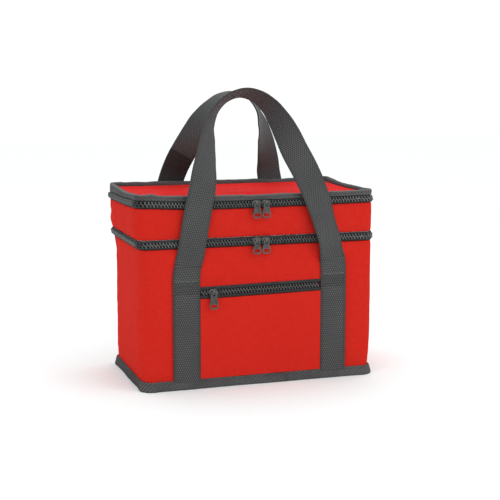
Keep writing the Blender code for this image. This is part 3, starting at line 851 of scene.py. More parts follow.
def stitches(name, places, body, finish=DARK_THREAD, length=2.3 * MM, radius=0.28 * MM):
    """Rows of short thread capsules. Each place is a centre, a direction and an outward normal."""
    sides = 6
    stations = (
        (-0.5, 0.25, -0.6),
        (-0.36, 0.85, 0.1),
        (0.0, 1.0, 0.35),
        (0.36, 0.85, 0.1),
        (0.5, 0.25, -0.6),
    )
    verts, faces = [], []
    for centre, direction, normal in places:
        centre = Vector(centre)
        direction = Vector(direction).normalized()
        normal = Vector(normal).normalized()
        across = direction.cross(normal)
        first = len(verts)
        for share, wide, lift in stations:
            for k in range(sides):
                turn = 2 * math.pi * k / sides
                verts.append(
                    centre + direction * share * length + normal * radius * lift
                    + (across * math.cos(turn) + normal * math.sin(turn)) * radius * wide
                )
        faces += tube_faces(first, len(stations), sides)
    put(make(name, verts, faces, finish), body)


def stitch_line(start, end, normal, pitch=STITCH_PITCH):
    """Places for stitches between two points."""
    start, end = Vector(start), Vector(end)
    count = max(1, int((end - start).length / pitch))
    return [(start.lerp(end, (k + 0.5) / count), end - start, normal) for k in range(count)]


def stitch_ring(out, height, tilt=0.0):
    """Places for stitches round the bag. out and height are functions of the distance."""
    places = []
    count = int(LOOP / STITCH_PITCH)
    for k in range(count):
        travel = (k + 0.5) * LOOP / count
        x, y = ring(travel, 0.0, out(travel))
        cos, sin = heading(travel)
        places.append(((x, y, height(travel)), (-sin, cos, 0), (cos, sin, tilt)))
    return places


# ---------------------------------------------------------------- bindings

def rim_wave(travel):
    """How the rim's tape strays up and out on its way round."""
    up = 0.55 * MM * wobble(travel, 31, 70 * MM) + 0.25 * MM * wobble(travel, 32, 22 * MM)
    out = 0.35 * MM * wobble(travel, 33, 48 * MM) + 0.2 * MM * wobble(travel, 34, 18 * MM)
    corner = near_corner(travel, 9 * MM)
    return up + 0.6 * MM * corner, out + 0.2 * MM * corner


def rim_binding():
    """The tape folded over the lid's edge, with slanting ribs, and the row of stitches along it."""
    low, high = (corner.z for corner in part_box("lid_binding"))
    corners = (
        (-2.6 * MM, low + 0.1 * MM),
        (1.15 * MM, low),
        (1.5 * MM, low - 0.9 * MM),
        (2.2 * MM, low - 0.4 * MM),
        (2.5 * MM, low + 1.6 * MM),
        (2.5 * MM, high - 2.0 * MM),
        (2.0 * MM, high - 0.6 * MM),
        (0.9 * MM, high),
        (-0.8 * MM, high - 0.1 * MM),
        (-2.2 * MM, high - 0.9 * MM),
        (-2.9 * MM, high - 2.4 * MM),
        (-3.0 * MM, low + 2.4 * MM),
    )
    profile = finer(corners + corners[:1], 1.1 * MM)[:-1]

    def wave(travel, j, rows):
        up, out = rim_wave(travel)
        share = (rows[j, 1] - low) / (high - low)
        outside = 1.0 if rows[j, 0] > 0 else 0.25
        rib = 0.3 * MM * np.sin(2 * math.pi * (travel / RIB_PITCH + rows[j, 1] / (5 * MM)))
        return (out * outside + rib * outside) * (0.35 + 0.65 * share), up * share

    piece = sweep("rim_binding", profile, RIM, 0.8 * MM, True, wave)
    put(piece, "lid", ("lid_binding",))
    outer = stitch_ring(
        lambda s: 2.62 * MM + float(rim_wave(s)[1]) * 0.6,
        lambda s: low + 3.0 * MM + float(rim_wave(s)[0]) * 0.45,
    )
    stitches("rim_stitching", outer, "lid")


rim_binding()


def base_wave(travel, height):
    """The base tape's flare is uneven, widest at the corners."""
    flare = 0.5 * MM * wobble(travel, 41, 60 * MM) + 0.25 * MM * wobble(travel, 42, 20 * MM)
    return (flare + 0.8 * MM * near_corner(travel, 10 * MM)) * np.clip(1 - height / BASE_TOP, 0, 1)


def base_binding():
    """The tape that flares round the foot of the bag, and the row of stitches near its top."""
    corners = (
        (0.35 * MM, 0.15 * MM),
        (2.2 * MM, 0.0),
        (3.0 * MM, 0.7 * MM),
        (3.05 * MM, 2.6 * MM),
        (2.5 * MM, 6.4 * MM),
        (1.95 * MM, 9.6 * MM),
        (1.6 * MM, 10.9 * MM),
        (1.0 * MM, BASE_TOP),
        (0.4 * MM, BASE_TOP - 0.3 * MM),
    )
    profile = finer(corners + corners[:1], 1.2 * MM)[:-1]

    def wave(travel, j, rows):
        out, height = rows[j]
        if out < 0.5 * MM:
            return 0.0, 0.0
        rib = 0.32 * MM * np.sin(2 * math.pi * (travel / RIB_PITCH - height / (4.6 * MM)))
        top = 0.35 * MM * wobble(travel, 43, 34 * MM) * np.clip(height / BASE_TOP, 0, 1) ** 3
        return base_wave(travel, height) + rib * (height > 0.5 * MM), top

    piece = sweep("base_binding_tape", profile, BINDING, 0.85 * MM, True, wave)
    put(piece, "main_body", ("base_binding",))
    row = 8.9 * MM
    places = stitch_ring(lambda s: 2.15 * MM + float(base_wave(s, row)), lambda s: row, tilt=0.2)
    stitches("base_stitching", places, "main_body")


base_binding()


# ---------------------------------------------------------------- zips

TOOTH_PITCH = 3.6 * MM
TAPE_OUT = 1.2 * MM


def tape(name, edge, middle, body, node, seed):
    """Half of a long zip's tape, from the red edge to the bead along its free edge."""
    way = 1 if edge < middle else -1
    end = edge + way * 0.3 * MM
    free = middle - way * 0.55 * MM
    corners = (
        (-0.8 * MM, end),
        (0.35 * MM, end),
        (0.95 * MM, end + way * 0.7 * MM),
        (TAPE_OUT, end + way * 2.0 * MM),
        (TAPE_OUT - 0.1 * MM, free - way * 1.3 * MM),
        (TAPE_OUT + 0.35 * MM, free - way * 0.8 * MM),
        (TAPE_OUT + 0.25 * MM, free - way * 0.15 * MM),
        (TAPE_OUT - 0.4 * MM, free),
        (-0.8 * MM, free),
    )
    profile = finer(corners + corners[:1], 1.0 * MM)[:-1]

    def wave(travel, j, rows):
        if rows[j, 0] < 0:
            return 0.0, 0.0
        share = np.clip(abs(rows[j, 1] - middle) / abs(edge - middle), 0, 1)
        return 0.35 * MM * wobble(travel, seed, 40 * MM) * np.sin(math.pi * share), 0.0

    piece = sweep(name, profile, ZIP_TAPE, 1.5 * MM, False, wave)
    put(piece, body, (node,))


# A tooth's outline in mm (sideways, up), how far it leans, and how far the two rows are set apart
TOOTH_OUTLINE = (
    (-0.66, -2.9), (0.66, -2.9), (0.66, -0.6), (0.6, 0.3),
    (0.32, 0.7), (-0.32, 0.7), (-0.6, 0.3), (-0.66, -0.6),
)
TOOTH_SLANT = 0.25
TOOTH_OFFSET = 1.45 * MM


def tooth_mesh(name, frames, way, body):
    """Moulded teeth. Each frame is a centre, the way along and the way out. way is up or down."""
    layers = ((0.0, 1.0), (1.25 * MM, 1.0), (1.6 * MM, 0.7))
    verts, faces = [], []
    for centre, along, out in frames:
        first = len(verts)
        for depth, size in layers:
            for side, up in TOOTH_OUTLINE:
                height = way * ((up + 1.1) * size - 1.1) * MM
                sideways = side * size * MM - TOOTH_SLANT * height
                verts.append(centre + along * sideways + Vector((0, 0, height)) + out * depth)
        faces += tube_faces(first, len(layers), len(TOOTH_OUTLINE))
    piece = make(name, verts, faces, TEETH)
    piece.data.set_sharp_from_angle(angle=math.radians(30))
    put(piece, body)


def teeth(name, middle, way, body):
    """The teeth of one half of a long zip. way is 1 for the lower half and -1 for the upper."""
    frames = []
    count = int(RUN / TOOTH_PITCH)
    margin = (RUN - (count - 1) * TOOTH_PITCH) / 2
    for k in range(count):
        travel = margin + k * TOOTH_PITCH + way * TOOTH_OFFSET / 2
        x, y = ring(travel, 0.0, TAPE_OUT - 0.1 * MM)
        cos, sin = heading(travel)
        frames.append((Vector((x, y, middle)), Vector((-sin, cos, 0)), Vector((cos, sin, 0))))
    tooth_mesh(name, frames, way, body)


for zip_name, zip_middle, lower_body, upper_body, low_edge, high_edge, zip_seed in (
    ("main", MAIN_ZIP, "main_body", "deck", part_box("main_shell")[1].z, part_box("deck_shell")[0].z, 51),
    ("top", TOP_ZIP, "deck", "lid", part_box("deck_shell")[1].z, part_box("lid_binding")[0].z - 0.3 * MM, 61),
):
    tape(f"{zip_name}_tape_lower", low_edge, zip_middle, lower_body, f"{zip_name}_zip_lower", zip_seed)
    tape(f"{zip_name}_tape_upper", high_edge, zip_middle, upper_body, f"{zip_name}_zip_upper", zip_seed + 1)
    teeth(f"{zip_name}_teeth_lower", zip_middle, 1, lower_body)
    teeth(f"{zip_name}_teeth_upper", zip_middle, -1, upper_body)


def pocket_zip():
    """The straight zip of the front pocket."""
    for half, way in (("lower", 1), ("upper", -1)):
        node = f"pocket_zip_{half}"
        low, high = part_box(node)
        edge = low.z if way > 0 else high.z
        wall = -high.y
        face = wall + 0.9 * MM
        free = POCKET_ZIP - way * 0.55 * MM
        corners = (
            (wall, edge),
            (face - 0.3 * MM, edge),
            (face, edge + way * 0.6 * MM),
            (face - 0.1 * MM, free - way * 1.3 * MM),
            (face + 0.35 * MM, free - way * 0.8 * MM),
            (face + 0.2 * MM, free - way * 0.1 * MM),
            (wall, free),
        )
        profile = finer(corners + corners[:1], 1.0 * MM)[:-1]
        xs = np.linspace(low.x, high.x, 90)
        points = np.zeros((len(xs), len(profile), 3))
        for j, (out, height) in enumerate(profile[:, :2]):
            lift = 0.2 * MM * wobble(xs, 71 + way, 30 * MM) if out > face - 0.2 * MM else 0.0
            points[:, j, 0] = xs
            points[:, j, 1] = -(out + lift)
            points[:, j, 2] = height
        across = lengths(profile[:, :2], True)
        piece = grid(f"pocket_tape_{half}", points, xs, across, POCKET_TAPE, wrap_v=True)
        put(piece, "main_body", (node,))
        count = int((high.x - low.x - 3 * MM) / TOOTH_PITCH)
        frames = []
        for k in range(count):
            x = low.x + 2.6 * MM + k * TOOTH_PITCH + way * TOOTH_OFFSET / 2
            centre = Vector((x, -(face - 0.1 * MM), POCKET_ZIP))
            frames.append((centre, Vector((1, 0, 0)), Vector((0, -1, 0))))
        tooth_mesh(f"pocket_teeth_{half}", frames, way, "main_body")
        seam = [(x, -face - 0.12 * MM, edge + way * 1.4 * MM) for x in (low.x + 1 * MM, high.x - 1 * MM)]
        stitches(f"pocket_tape_stitching_{half}", stitch_line(*seam, (0, -1, 0), 3.0 * MM), "main_body")


pocket_zip()


def pocket_panel():
    """The pocket's front, a single layer of fabric held at its sides and foot."""
    low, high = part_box("pocket_panel")
    step = 4 * MM
    xs = np.linspace(low.x, high.x, int((high.x - low.x) / step) + 1)
    zs = np.linspace(low.z, high.z, int((high.z - low.z) / step) + 1)
    x, z = np.meshgrid(xs, zs, indexing="ij")
    sides = np.minimum(x - low.x, high.x - x)
    foot = z - low.z
    rise = 0.9 * MM * smooth_step(sides, 0, 34 * MM) * smooth_step(foot, 0, 30 * MM)
    free = smooth_step(sides, 0, 12 * MM) * smooth_step(foot, 0, 12 * MM)
    rise = rise + 0.22 * MM * ripple(x, z * 1.4, 81, 46 * MM) * free
    face = low.y + 0.25 * MM
    outer = np.stack([x, face - rise, z], axis=-1)
    inner = np.stack([x, face - rise + 0.9 * MM, z], axis=-1)
    hem = bell(z, high.z, 2.2 * MM) * 0.25 * MM
    outer[..., 1] -= hem
    piece = sheet_grid("pocket_fabric", outer, inner, xs, zs)
    put(piece, "main_body", ("pocket_panel",))


pocket_panel()


# ---------------------------------------------------------------- webbing

def webbing(name, stations, along, finish=STRAP, pinches=()):
    """Flat webbing through stations of (centre, across, out of its face), with woven relief.

    along is the length already woven at each station; the relief follows it. The face is drawn
    in by thread at each of the pinches, which are heights.
    """
    relief = 0.12 * MM
    shares = np.linspace(-1, 1, COLUMNS + 1)
    centres, acrosses, outs = (np.array([s[k] for s in stations]) for k in range(3))
    half_wide = WEBBING_WIDTH / 2
    edge = np.abs(shares)
    thick = WEBBING / 2 * (1 - 0.45 * np.clip((edge - 0.9) / 0.1, 0, 1) ** 2) - relief
    stagger = np.arange(COLUMNS + 1)[None, :] % 2
    dots = np.cos(math.pi * (along[:, None] / WEAVE + stagger))
    ribs = np.cos(math.pi * along[:, None] / ROW)
    bulge = relief * np.where(edge > RIBS_FROM, ribs, 0.6 * dots + 0.4 * ribs)
    bulge[:, 0] = bulge[:, -1] = 0
    loops = 0.16 * MM * np.cos(math.pi * along / ROW)
    selvage = np.where(edge > 0.99, 1.0, 0.0)
    wide = [(shares[j] * (half_wide + selvage[j] * loops))[:, None] for j in range(COLUMNS + 1)]
    drawn = np.zeros(len(along))
    for height in pinches:
        drawn = np.maximum(drawn, bell(centres[:, 2], height, 0.6 * MM))
    rows = [centres + acrosses * wide[j]
            + outs * (thick[j] + bulge[:, j] - 0.42 * MM * drawn * (edge[j] < 0.9))[:, None]
            for j in range(COLUMNS + 1)]
    rows += [centres + acrosses * wide[j] - outs * (thick[j] + bulge[:, j])[:, None]
             for j in range(COLUMNS, -1, -1)]
    points = np.stack(rows, axis=1)
    across = np.concatenate([(shares + 1) * half_wide, (shares[::-1] + 1) * half_wide, [0.0]])
    piece = grid(name, points, along, across, finish, wrap_v=True)
    piece.data.set_sharp_from_angle(angle=math.radians(80))
    return piece


def lean(side, height):
    """How far a strap has begun to lean towards the middle on its way up."""
    amount = {"left": 1.7 * MM, "right": -1.3 * MM}[side]
    return amount * max((height - 128 * MM) / (14.2 * MM), 0) ** 2


def upright(side, face, low, high, step=ROW):
    """Stations of webbing that stands straight against the front or the back."""
    count = max(2, int(round((high - low) / step)))
    y = face * WEBBING_Y
    heights = [low + (high - low) * k / count for k in range(count + 1)]
    return [
        (Vector((STRAP_X[side] + lean(side, height), y, height)), Vector((1, 0, 0)), Vector((0, face, 0)))
        for height in heights
    ]


def curve_point(before, start, end, after, share):
    """A point between start and end on a smooth curve through four."""
    square = share * share
    cube = square * share
    return 0.5 * (
        2 * start + (end - before) * share
        + (2 * before - 5 * start + 4 * end - after) * square
        + (3 * start - before - 3 * end + after) * cube
    )


def handle_samples(keys_up):
    """Closely set centres and twists along a front handle, up one leg and down the other."""
    steps = 24
    left, right = [], []
    for height, left_x, right_x, depth, left_turn, right_turn in keys_up:
        left.append((Vector((left_x, -depth, height)) * MM, math.radians(left_turn)))
        right.append((Vector((right_x, -depth, height)) * MM, math.radians(right_turn)))
    keys = left + right[-2::-1]
    points = [key[0] for key in keys]
    twists = [key[1] for key in keys]
    points = [2 * points[0] - points[1]] + points + [2 * points[-1] - points[-2]]
    twists = [twists[0]] + twists + [twists[-1]]
    samples = []
    for index in range(1, len(points) - 2):
        for step in range(steps):
            share = step / steps
            samples.append((
                curve_point(*points[index - 1:index + 3], share),
                curve_point(*twists[index - 1:index + 3], share),
            ))
    samples.append((points[-2], twists[-2]))
    return samples


def handle_stations(keys_up, face):
    """Stations every weave step along a handle, with the twist that turns it over at the top."""
    samples = handle_samples(keys_up)
    centres = np.array([s[0] for s in samples])
    twists = np.array([s[1] for s in samples])
    far = lengths(centres)
    count = int(round(far[-1] / ROW))
    wanted = np.linspace(0, far[-1], count + 1)
    places = np.stack([np.interp(wanted, far, centres[:, k]) for k in range(3)], axis=1)
    turns = np.interp(wanted, far, twists)
    stations = []
    for index, (centre, twist) in enumerate(zip(places, turns)):
        before = Vector(places[max(index - 2, 0)])
        after = Vector(places[min(index + 2, count)])
        along = (after - before).normalized()
        if index < 2:
            along = Vector((0, 0, 1))
        if index > count - 2:
            along = Vector((0, 0, -1))
        front = Vector((0, -1, 0))
        front = (front - along * front.dot(along)).normalized()
        inward = front.cross(along)
        if inward.dot(Vector((along.z, 0, -along.x))) < 0:
            inward = -inward
        out = front * math.cos(twist) + inward * math.sin(twist)
        across = out.cross(along)
        stations.append((Vector(centre), across, out))
    if face > 0:
        flip = Vector((1, -1, 1))
        stations = [tuple(part * flip for part in station) for station in stations]
    return stations


def strap_stitching(name, x, face, body):
    """Rows sewn across the head of a strap, one bold row above them and a row down each edge."""
    y = face * (WEBBING_Y + WEBBING / 2 - 0.12 * MM)
    half = WEBBING_WIDTH / 2 - 2.4 * MM
    normal = (0, face, 0)
    rows = []
    for height in SEWN_ROWS:
        rows += stitch_line((x - half, y, height), (x + half, y, height), normal, 2.7 * MM)
    for side in (-1, 1):
        edge_x = x + side * half
        rows += stitch_line((edge_x, y, BASE_TOP + 4 * MM), (edge_x, y, SEWN_ROWS[0]), normal)
    stitches(f"{name}_rows", rows, body, length=2.4 * MM, radius=0.3 * MM)
    bold = stitch_line((x - half, y, BOLD_ROW), (x + half, y, BOLD_ROW), normal, 2.7 * MM)
    stitches(f"{name}_bold", bold, body, PALE_THREAD, length=1.7 * MM, radius=0.36 * MM)


def handles():
    """Each handle: sewn straps, three bends above each seam and the long loop."""
    bottom = BASE_TOP - 3 * MM
    seam = FIRST_FOLD - 1.2 * MM
    sewn_rows = int(round((seam - bottom) / ROW))
    bend_rows = 9
    loop_from = 2
    low_end = FIRST_FOLD + 1.0 * MM
    middle_end = SECOND_FOLD + 1.2 * MM
    high_start = THIRD_FOLD - 2.4 * MM

    def woven(stations):
        """Length woven at each station of a bend, so that whole rows reach the loop."""
        heights = np.array([station[0].z for station in stations])
        low, high = seam, THIRD_FOLD + 0.2 * MM
        share = np.clip((heights - low) / (high - low), 0, None)
        return (sewn_rows + bend_rows * share) * ROW

    for face, face_name, keys_up in ((-1, "front", FRONT_HANDLE), (1, "back", BACK_HANDLE)):
        lower, upper, loop = f"{face_name}_lower_folds", f"{face_name}_upper_folds", f"{face_name}_handle"
        stations = handle_stations(keys_up, face)
        foot = {"left": stations[:loop_from + 1], "right": stations[-loop_from - 1:][::-1]}
        rows = sewn_rows + bend_rows + loop_from + np.arange(len(stations) - 2 * loop_from)
        finish = STRAP if face < 0 else BACK_STRAP
        put(webbing(f"{face_name}_handle_webbing", stations[loop_from:-loop_from], rows * ROW, finish),
            loop, (loop,))
        for side, x in STRAP_X.items():
            label = f"{face_name}_{side}"
            straight = upright(side, face, bottom, seam, ROW / 2)
            woven_there = np.linspace(0, sewn_rows * ROW, len(straight))
            sewn = webbing(f"{label}_strap", straight, woven_there, pinches=[BOLD_ROW] + SEWN_ROWS)
            put(sewn, "main_body", (f"{label}_sewn_strap",))
            strap_stitching(f"{label}_strap_stitching", x, face, "main_body")

            def bend(part, low, high, body_low, body_high, fold, reach, more=()):
                places = upright(side, face, low, high, 0.36 * MM) + list(more)
                lengths_there = woven(places)
                if more:
                    first = len(places) - len(more)
                    lengths_there[first:] = (sewn_rows + bend_rows + np.arange(len(more))) * ROW
                piece = webbing(f"{label}_bend_{part}", places, lengths_there)
                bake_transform(piece)
                return piece

            low_bend = bend("low", seam, low_end, "main_body", lower, FIRST_FOLD, 0.95 * MM)
            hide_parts(f"{label}_lower_fold")
            bend("middle", low_end, middle_end, lower, upper, SECOND_FOLD, 0.95 * MM)
            steady = upright(side, face, middle_end, high_start, ROW / 2)
            middle = webbing(f"{label}_strap_middle", steady, woven(steady))
            put(middle, upper, (f"{label}_upper_fold",))
            high_fold = THIRD_FOLD + 0.8 * MM
            bend("high", high_start, THIRD_FOLD + 0.05 * MM, upper, loop, high_fold, 1.4 * MM, foot[side])


handles()


def doubled_end():
    """The tail of the back handle's webbing, sewn flat to the inside of its left leg, in a darker webbing
    whose dark tones are painted shade.
    """
    stations = handle_stations(BACK_HANDLE, 1)
    tail = [s for s in stations[:len(stations) // 2] if 146 * MM < s[0].z < DOUBLED_TO]
    tail = [(centre - out * 1.35 * MM, across, out) for centre, across, out in tail]
    along = np.arange(len(tail)) * ROW
    piece = webbing("back_left_doubled_end", tail, along, SHADED_DOUBLED)
    put(piece, "back_handle")


doubled_end()


# ---------------------------------------------------------------- the settled shape

def settled(x, y, z):
    """How the filled bag sits: a narrower foot on the left, full sides and a lid that sags in front."""
    left = smooth_step(-x, 103 * MM, 142 * MM)
    right = smooth_step(x, 108 * MM, 142 * MM)
    tuck = 3.6 * MM * (1 - smooth_step(z, 146 * MM, 172 * MM))
    swell = 3.2 * MM * smooth_step(z, 166 * MM, 188 * MM) * (1 - 0.35 * bell(z, 194 * MM, 5 * MM))
    swell = swell * (1 - 0.85 * smooth_step(z, 214 * MM, 222 * MM))
    full = 2.4 * MM * smooth_step(z, 12 * MM, 50 * MM) * (1 - 0.4 * bell(z, MAIN_ZIP, 6 * MM))
    move_x = left * (tuck - swell) + right * full * (1 - 1.2 * smooth_step(z, 208 * MM, 222 * MM))
    front = smooth_step(-y, 0, 70 * MM)
    span = (0.142, 0.125, 0.105, 0.085, 0.045, 0.0, -0.05, -0.1, -0.142)
    sag = np.interp(x, [-s for s in span], (1.6, 1.0, -0.3, -1.1, -1.9, -1.8, -1.2, -0.6, 0.0)) * MM
    lid = smooth_step(z, 217 * MM, 226 * MM)
    move_z = sag * front * smooth_step(z, 176 * MM, 208 * MM)
    tilt = 1.6 * MM - 3.0 * MM * smooth_step(-y, -70 * MM, 70 * MM)
    beside = smooth_step(x, 100 * MM, 138 * MM) * 2.0 * MM + smooth_step(-x, 100 * MM, 138 * MM) * 1.0 * MM
    dip = beside * bell(y, -2 * MM, 34 * MM)
    raised = 1.0 * MM * smooth_step(x, 90 * MM, 130 * MM) * smooth_step(y, 35 * MM, 68 * MM)
    nub = 1.3 * MM * bell(x, -127 * MM, 5 * MM) - 0.7 * MM * bell(x, -139 * MM, 4 * MM)
    return move_x, move_z + lid * (tilt - dip + raised + nub * smooth_step(-y, 45 * MM, 68 * MM))


def settle_piece(piece):
    """Move one piece to its settled place; sliders and tabs move as they are."""
    count = len(piece.data.vertices)
    flat = np.empty(count * 3, np.float32)
    piece.data.vertices.foreach_get("co", flat)
    places = flat.reshape(-1, 3).astype(float)
    at = places.copy()
    if "_slider_" in piece.name or "_pull_" in piece.name:
        label = piece.name.split("_slider_")[0].split("_pull_")[0]
        low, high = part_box(f"{label}_slider")
        at[:] = (low + high) / 2
    move_x, move_z = settled(at[:, 0], at[:, 1], at[:, 2])
    if piece.name.startswith("pocket_"):
        move_z = move_z + (0.9 * MM + 0.013 * at[:, 0]) * smooth_step(at[:, 2], 50 * MM, 100 * MM)
    places[:, 0] += move_x
    places[:, 2] += move_z
    piece.data.vertices.foreach_set("co", places.astype(np.float32).ravel())
    piece.data.update()


# ---------------------------------------------------------------- hinges at the back

def hinge_cloth(label, low_body, high_body, middle, seed):
    """One strip of fabric that hinges two sections across the back."""
    name = f"{label}_hinge_fabric"
    low_node, high_node = f"{label}_hinge_strip_lower", f"{label}_hinge_strip_upper"
    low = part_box(low_node)[0]
    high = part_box(high_node)[1]
    xs = np.arange(int(round((high.x - low.x) / (4 * MM))) + 1)
    xs = low.x + xs * (high.x - low.x) / xs[-1]
    zs = np.linspace(low.z, high.z, 19)
    x, z = np.meshgrid(xs, zs, indexing="ij")
    face = high.y - 0.1 * MM
    groove = 0.45 * MM * bell(z, middle, 1.1 * MM)
    lift = 0.2 * MM * ripple(x, z * 3, seed, 40 * MM) * np.sin(math.pi * (z - low.z) / (high.z - low.z))
    outer = np.stack([x, face - groove + lift, z], axis=-1)
    inner = np.stack([x, face - groove + lift - 1.2 * MM, z], axis=-1)
    piece = sheet_grid(name, outer, inner, xs, zs)
    settle_piece(piece)
    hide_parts(low_node, high_node)
    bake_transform(piece)
    for row, body, height in (("low", low_body, low.z + 1.3 * MM), ("high", high_body, high.z - 1.3 * MM)):
        ends = [(x_end, face + 0.1 * MM, height) for x_end in (low.x + 2 * MM, high.x - 2 * MM)]
        line = stitch_line(*ends, (0, 1, 0))
        stitches(f"{name}_stitching_{row}", line, body, RED_THREAD)


hinge_cloth("main", "main_body", "deck", MAIN_ZIP, 91)
hinge_cloth("lid", "deck", "lid", TOP_ZIP, 92)


# ---------------------------------------------------------------- lining, base and foam

# The inset at which a film or a board closes, near the bag's long middle line
CLOSING_INSET = HALF_Y - 6 * MM


def lined(name, rows, body, node, finish, seed, wrinkle):
    """A film through rows of (inset, height), closed at both ends, with small creases."""
    step = 5 * MM
    rows = finer(rows, 6 * MM)
    count = int(round(LOOP / step))
    travel = np.arange(count) * LOOP / count
    cos, sin = heading(travel)
    points = np.zeros((count, len(rows), 3))
    for j, (inset, height) in enumerate(rows[:, :2]):
        x, y = ring(travel, inset)
        points[:, j] = np.stack([x, y, np.full(count, height)], axis=1)
    line = rows[:, :2]
    slope = np.gradient(line, axis=0)
    slope = slope / np.maximum(np.linalg.norm(slope, axis=1, keepdims=True), 1e-9)
    across = lengths(line)
    for j in range(1, len(rows) - 1):
        amount = wrinkle * ripple(travel, travel * 0 + across[j], seed, 26 * MM)
        side, up = -slope[j, 1], slope[j, 0]
        points[:, j, 0] += -amount * side * cos
        points[:, j, 1] += -amount * side * sin
        points[:, j, 2] += amount * up
    piece = grid(name, points, np.append(travel, LOOP), across, finish, wrap_u=True)
    put(piece, body, (node,))
    return piece


def tub(name, node, body, seed, wall):
    """A liner: floor, walls at an inset and a rim turned out over the foam."""
    low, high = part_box(node)
    rim_inset = 1.9 * MM
    rows = (
        (CLOSING_INSET, low.z + 0.75 * MM),
        (wall + 2.5 * MM, low.z + 0.8 * MM),
        (wall + 0.7 * MM, low.z + 1.4 * MM),
        (wall + 0.2 * MM, low.z + 3.4 * MM),
        (wall + 0.1 * MM, high.z - 1.6 * MM),
        (wall - 0.4 * MM, high.z - 0.5 * MM),
        (wall - 1.6 * MM, high.z - 0.1 * MM),
        (rim_inset, high.z - 0.1 * MM),
        (rim_inset, high.z - 0.65 * MM),
        (wall - 0.9 * MM, high.z - 0.75 * MM),
        (wall - 0.4 * MM, high.z - 1.8 * MM),
        (wall - 0.4 * MM, low.z + 0.9 * MM),
        (wall + 1.5 * MM, low.z + 0.15 * MM),
        (CLOSING_INSET, low.z + 0.15 * MM),
    )
    lined(name, rows, body, node, FOIL, seed, 0.12 * MM)


tub("main_liner_foil", "main_liner", "main_body", 101, 10.3 * MM)
tub("deck_liner_foil", "deck_liner", "deck", 102, 8.3 * MM)


def flat_film(name, node, body, seed):
    """A flat lining: one sheet of film, closed round its edge."""
    low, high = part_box(node)
    edge = HALF_Y - high.y
    rows = (
        (CLOSING_INSET, high.z - 0.1 * MM),
        (edge + 0.4 * MM, high.z - 0.1 * MM),
        (edge + 0.1 * MM, (low.z + high.z) / 2),
        (edge + 0.4 * MM, low.z + 0.1 * MM),
        (CLOSING_INSET, low.z + 0.1 * MM),
    )
    piece = lined(name, rows, body, node, FOIL, seed, 0.1 * MM)


flat_film("deck_underside_foil", "deck_lining", "deck", 103)
flat_film("lid_underside_foil", "lid_lining", "lid", 104)


def base_board():
    """The stiff cloth under the bag."""
    low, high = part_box("base_panel")
    rows = (
        (CLOSING_INSET, high.z),
        (0.6 * MM, high.z),
        (0.05 * MM, (low.z + high.z) / 2),
        (0.6 * MM, low.z),
        (CLOSING_INSET, low.z),
    )
    lined("base_board", rows, "main_body", "base_panel", BASE_CLOTH, 105, 0.0)


base_board()


def foam_boards():
    """The insulation: each board of the part with soft edges and a cut-foam finish."""
    for node_name in sorted(frame["nodes"]):
        if not node_name.endswith("_foam") or node_name == "lid_foam":
            continue
        node = frame["nodes"][node_name]
        bm = bmesh.new()
        bm.from_mesh(node.data)
        bm.transform(node.matrix_world)
        for _ in range(3):
            long = [edge for edge in bm.edges if edge.calc_length() > 30 * MM]
            if long:
                bmesh.ops.subdivide_edges(bm, edges=long, cuts=1, use_grid_fill=True)
        bmesh.ops.triangulate(bm, faces=bm.faces)
        corners = [edge for edge in bm.edges if edge.calc_face_angle(0) > 1.0]
        bmesh.ops.bevel(bm, geom=corners, offset=0.8 * MM, segments=2, affect="EDGES", clamp_overlap=True)
        mesh = bpy.data.meshes.new(node_name)
        bm.to_mesh(mesh)
        bm.free()
        mesh.materials.clear()
        mesh.materials.append(FOAM)
        board = new_object(f"{node_name}_board", mesh)
        put(board, "main_body" if node_name.startswith("main") else "deck", (node_name,))


foam_boards()


# ---------------------------------------------------------------- sliders and pulls

def solid_outline(name, edge, holes, low, high, finish, bevel):
    """A flat part in the XZ plane with rounded edges: an edge, some holes and two depths."""
    bm = bmesh.new()
    sides = []
    for loop in (edge, *holes):
        corners = [bm.verts.new((x, low, z)) for x, z in loop]
        sides += [bm.edges.new((corners[i - 1], corners[i])) for i in range(len(corners))]
    filled = bmesh.ops.triangle_fill(bm, edges=sides, use_beauty=True)
    faces = [item for item in filled["geom"] if isinstance(item, bmesh.types.BMFace)]
    raised = bmesh.ops.extrude_face_region(bm, geom=faces)
    moved = [item for item in raised["geom"] if isinstance(item, bmesh.types.BMVert)]
    bmesh.ops.translate(bm, vec=(0.0, high - low, 0.0), verts=moved)
    bmesh.ops.recalc_face_normals(bm, faces=bm.faces)
    sharp = [e for e in bm.edges if len(e.link_faces) == 2 and e.calc_face_angle(0) > 1.2]
    rims = [e for e in sharp if abs(e.verts[0].co.y - e.verts[1].co.y) < 1e-7]
    bmesh.ops.bevel(bm, geom=rims, offset=bevel, segments=3, affect="EDGES", clamp_overlap=True)
    mesh = bpy.data.meshes.new(name)
    bm.to_mesh(mesh)
    bm.free()
    mesh.materials.append(finish)
    mesh.shade_smooth()
    mesh.set_sharp_from_angle(angle=math.radians(40))
    return new_object(name, mesh)


def rounded(points, radii):
    """A polygon with its corners rounded off by as much as radii say."""
    steps = 4
    out = []
    count = len(points)
    for index in range(count):
        here = Vector(points[index])
        before = Vector(points[index - 1])
        after = Vector(points[(index + 1) % count])
        back = before - here
        on = after - here
        reach = min(radii[index], back.length * 0.48, on.length * 0.48)
        start = here + back.normalized() * reach
        end = here + on.normalized() * reach
        for k in range(steps + 1):
            t = k / steps
            out.append(tuple(start * (1 - t) ** 2 + here * 2 * t * (1 - t) + end * t * t))
    return out


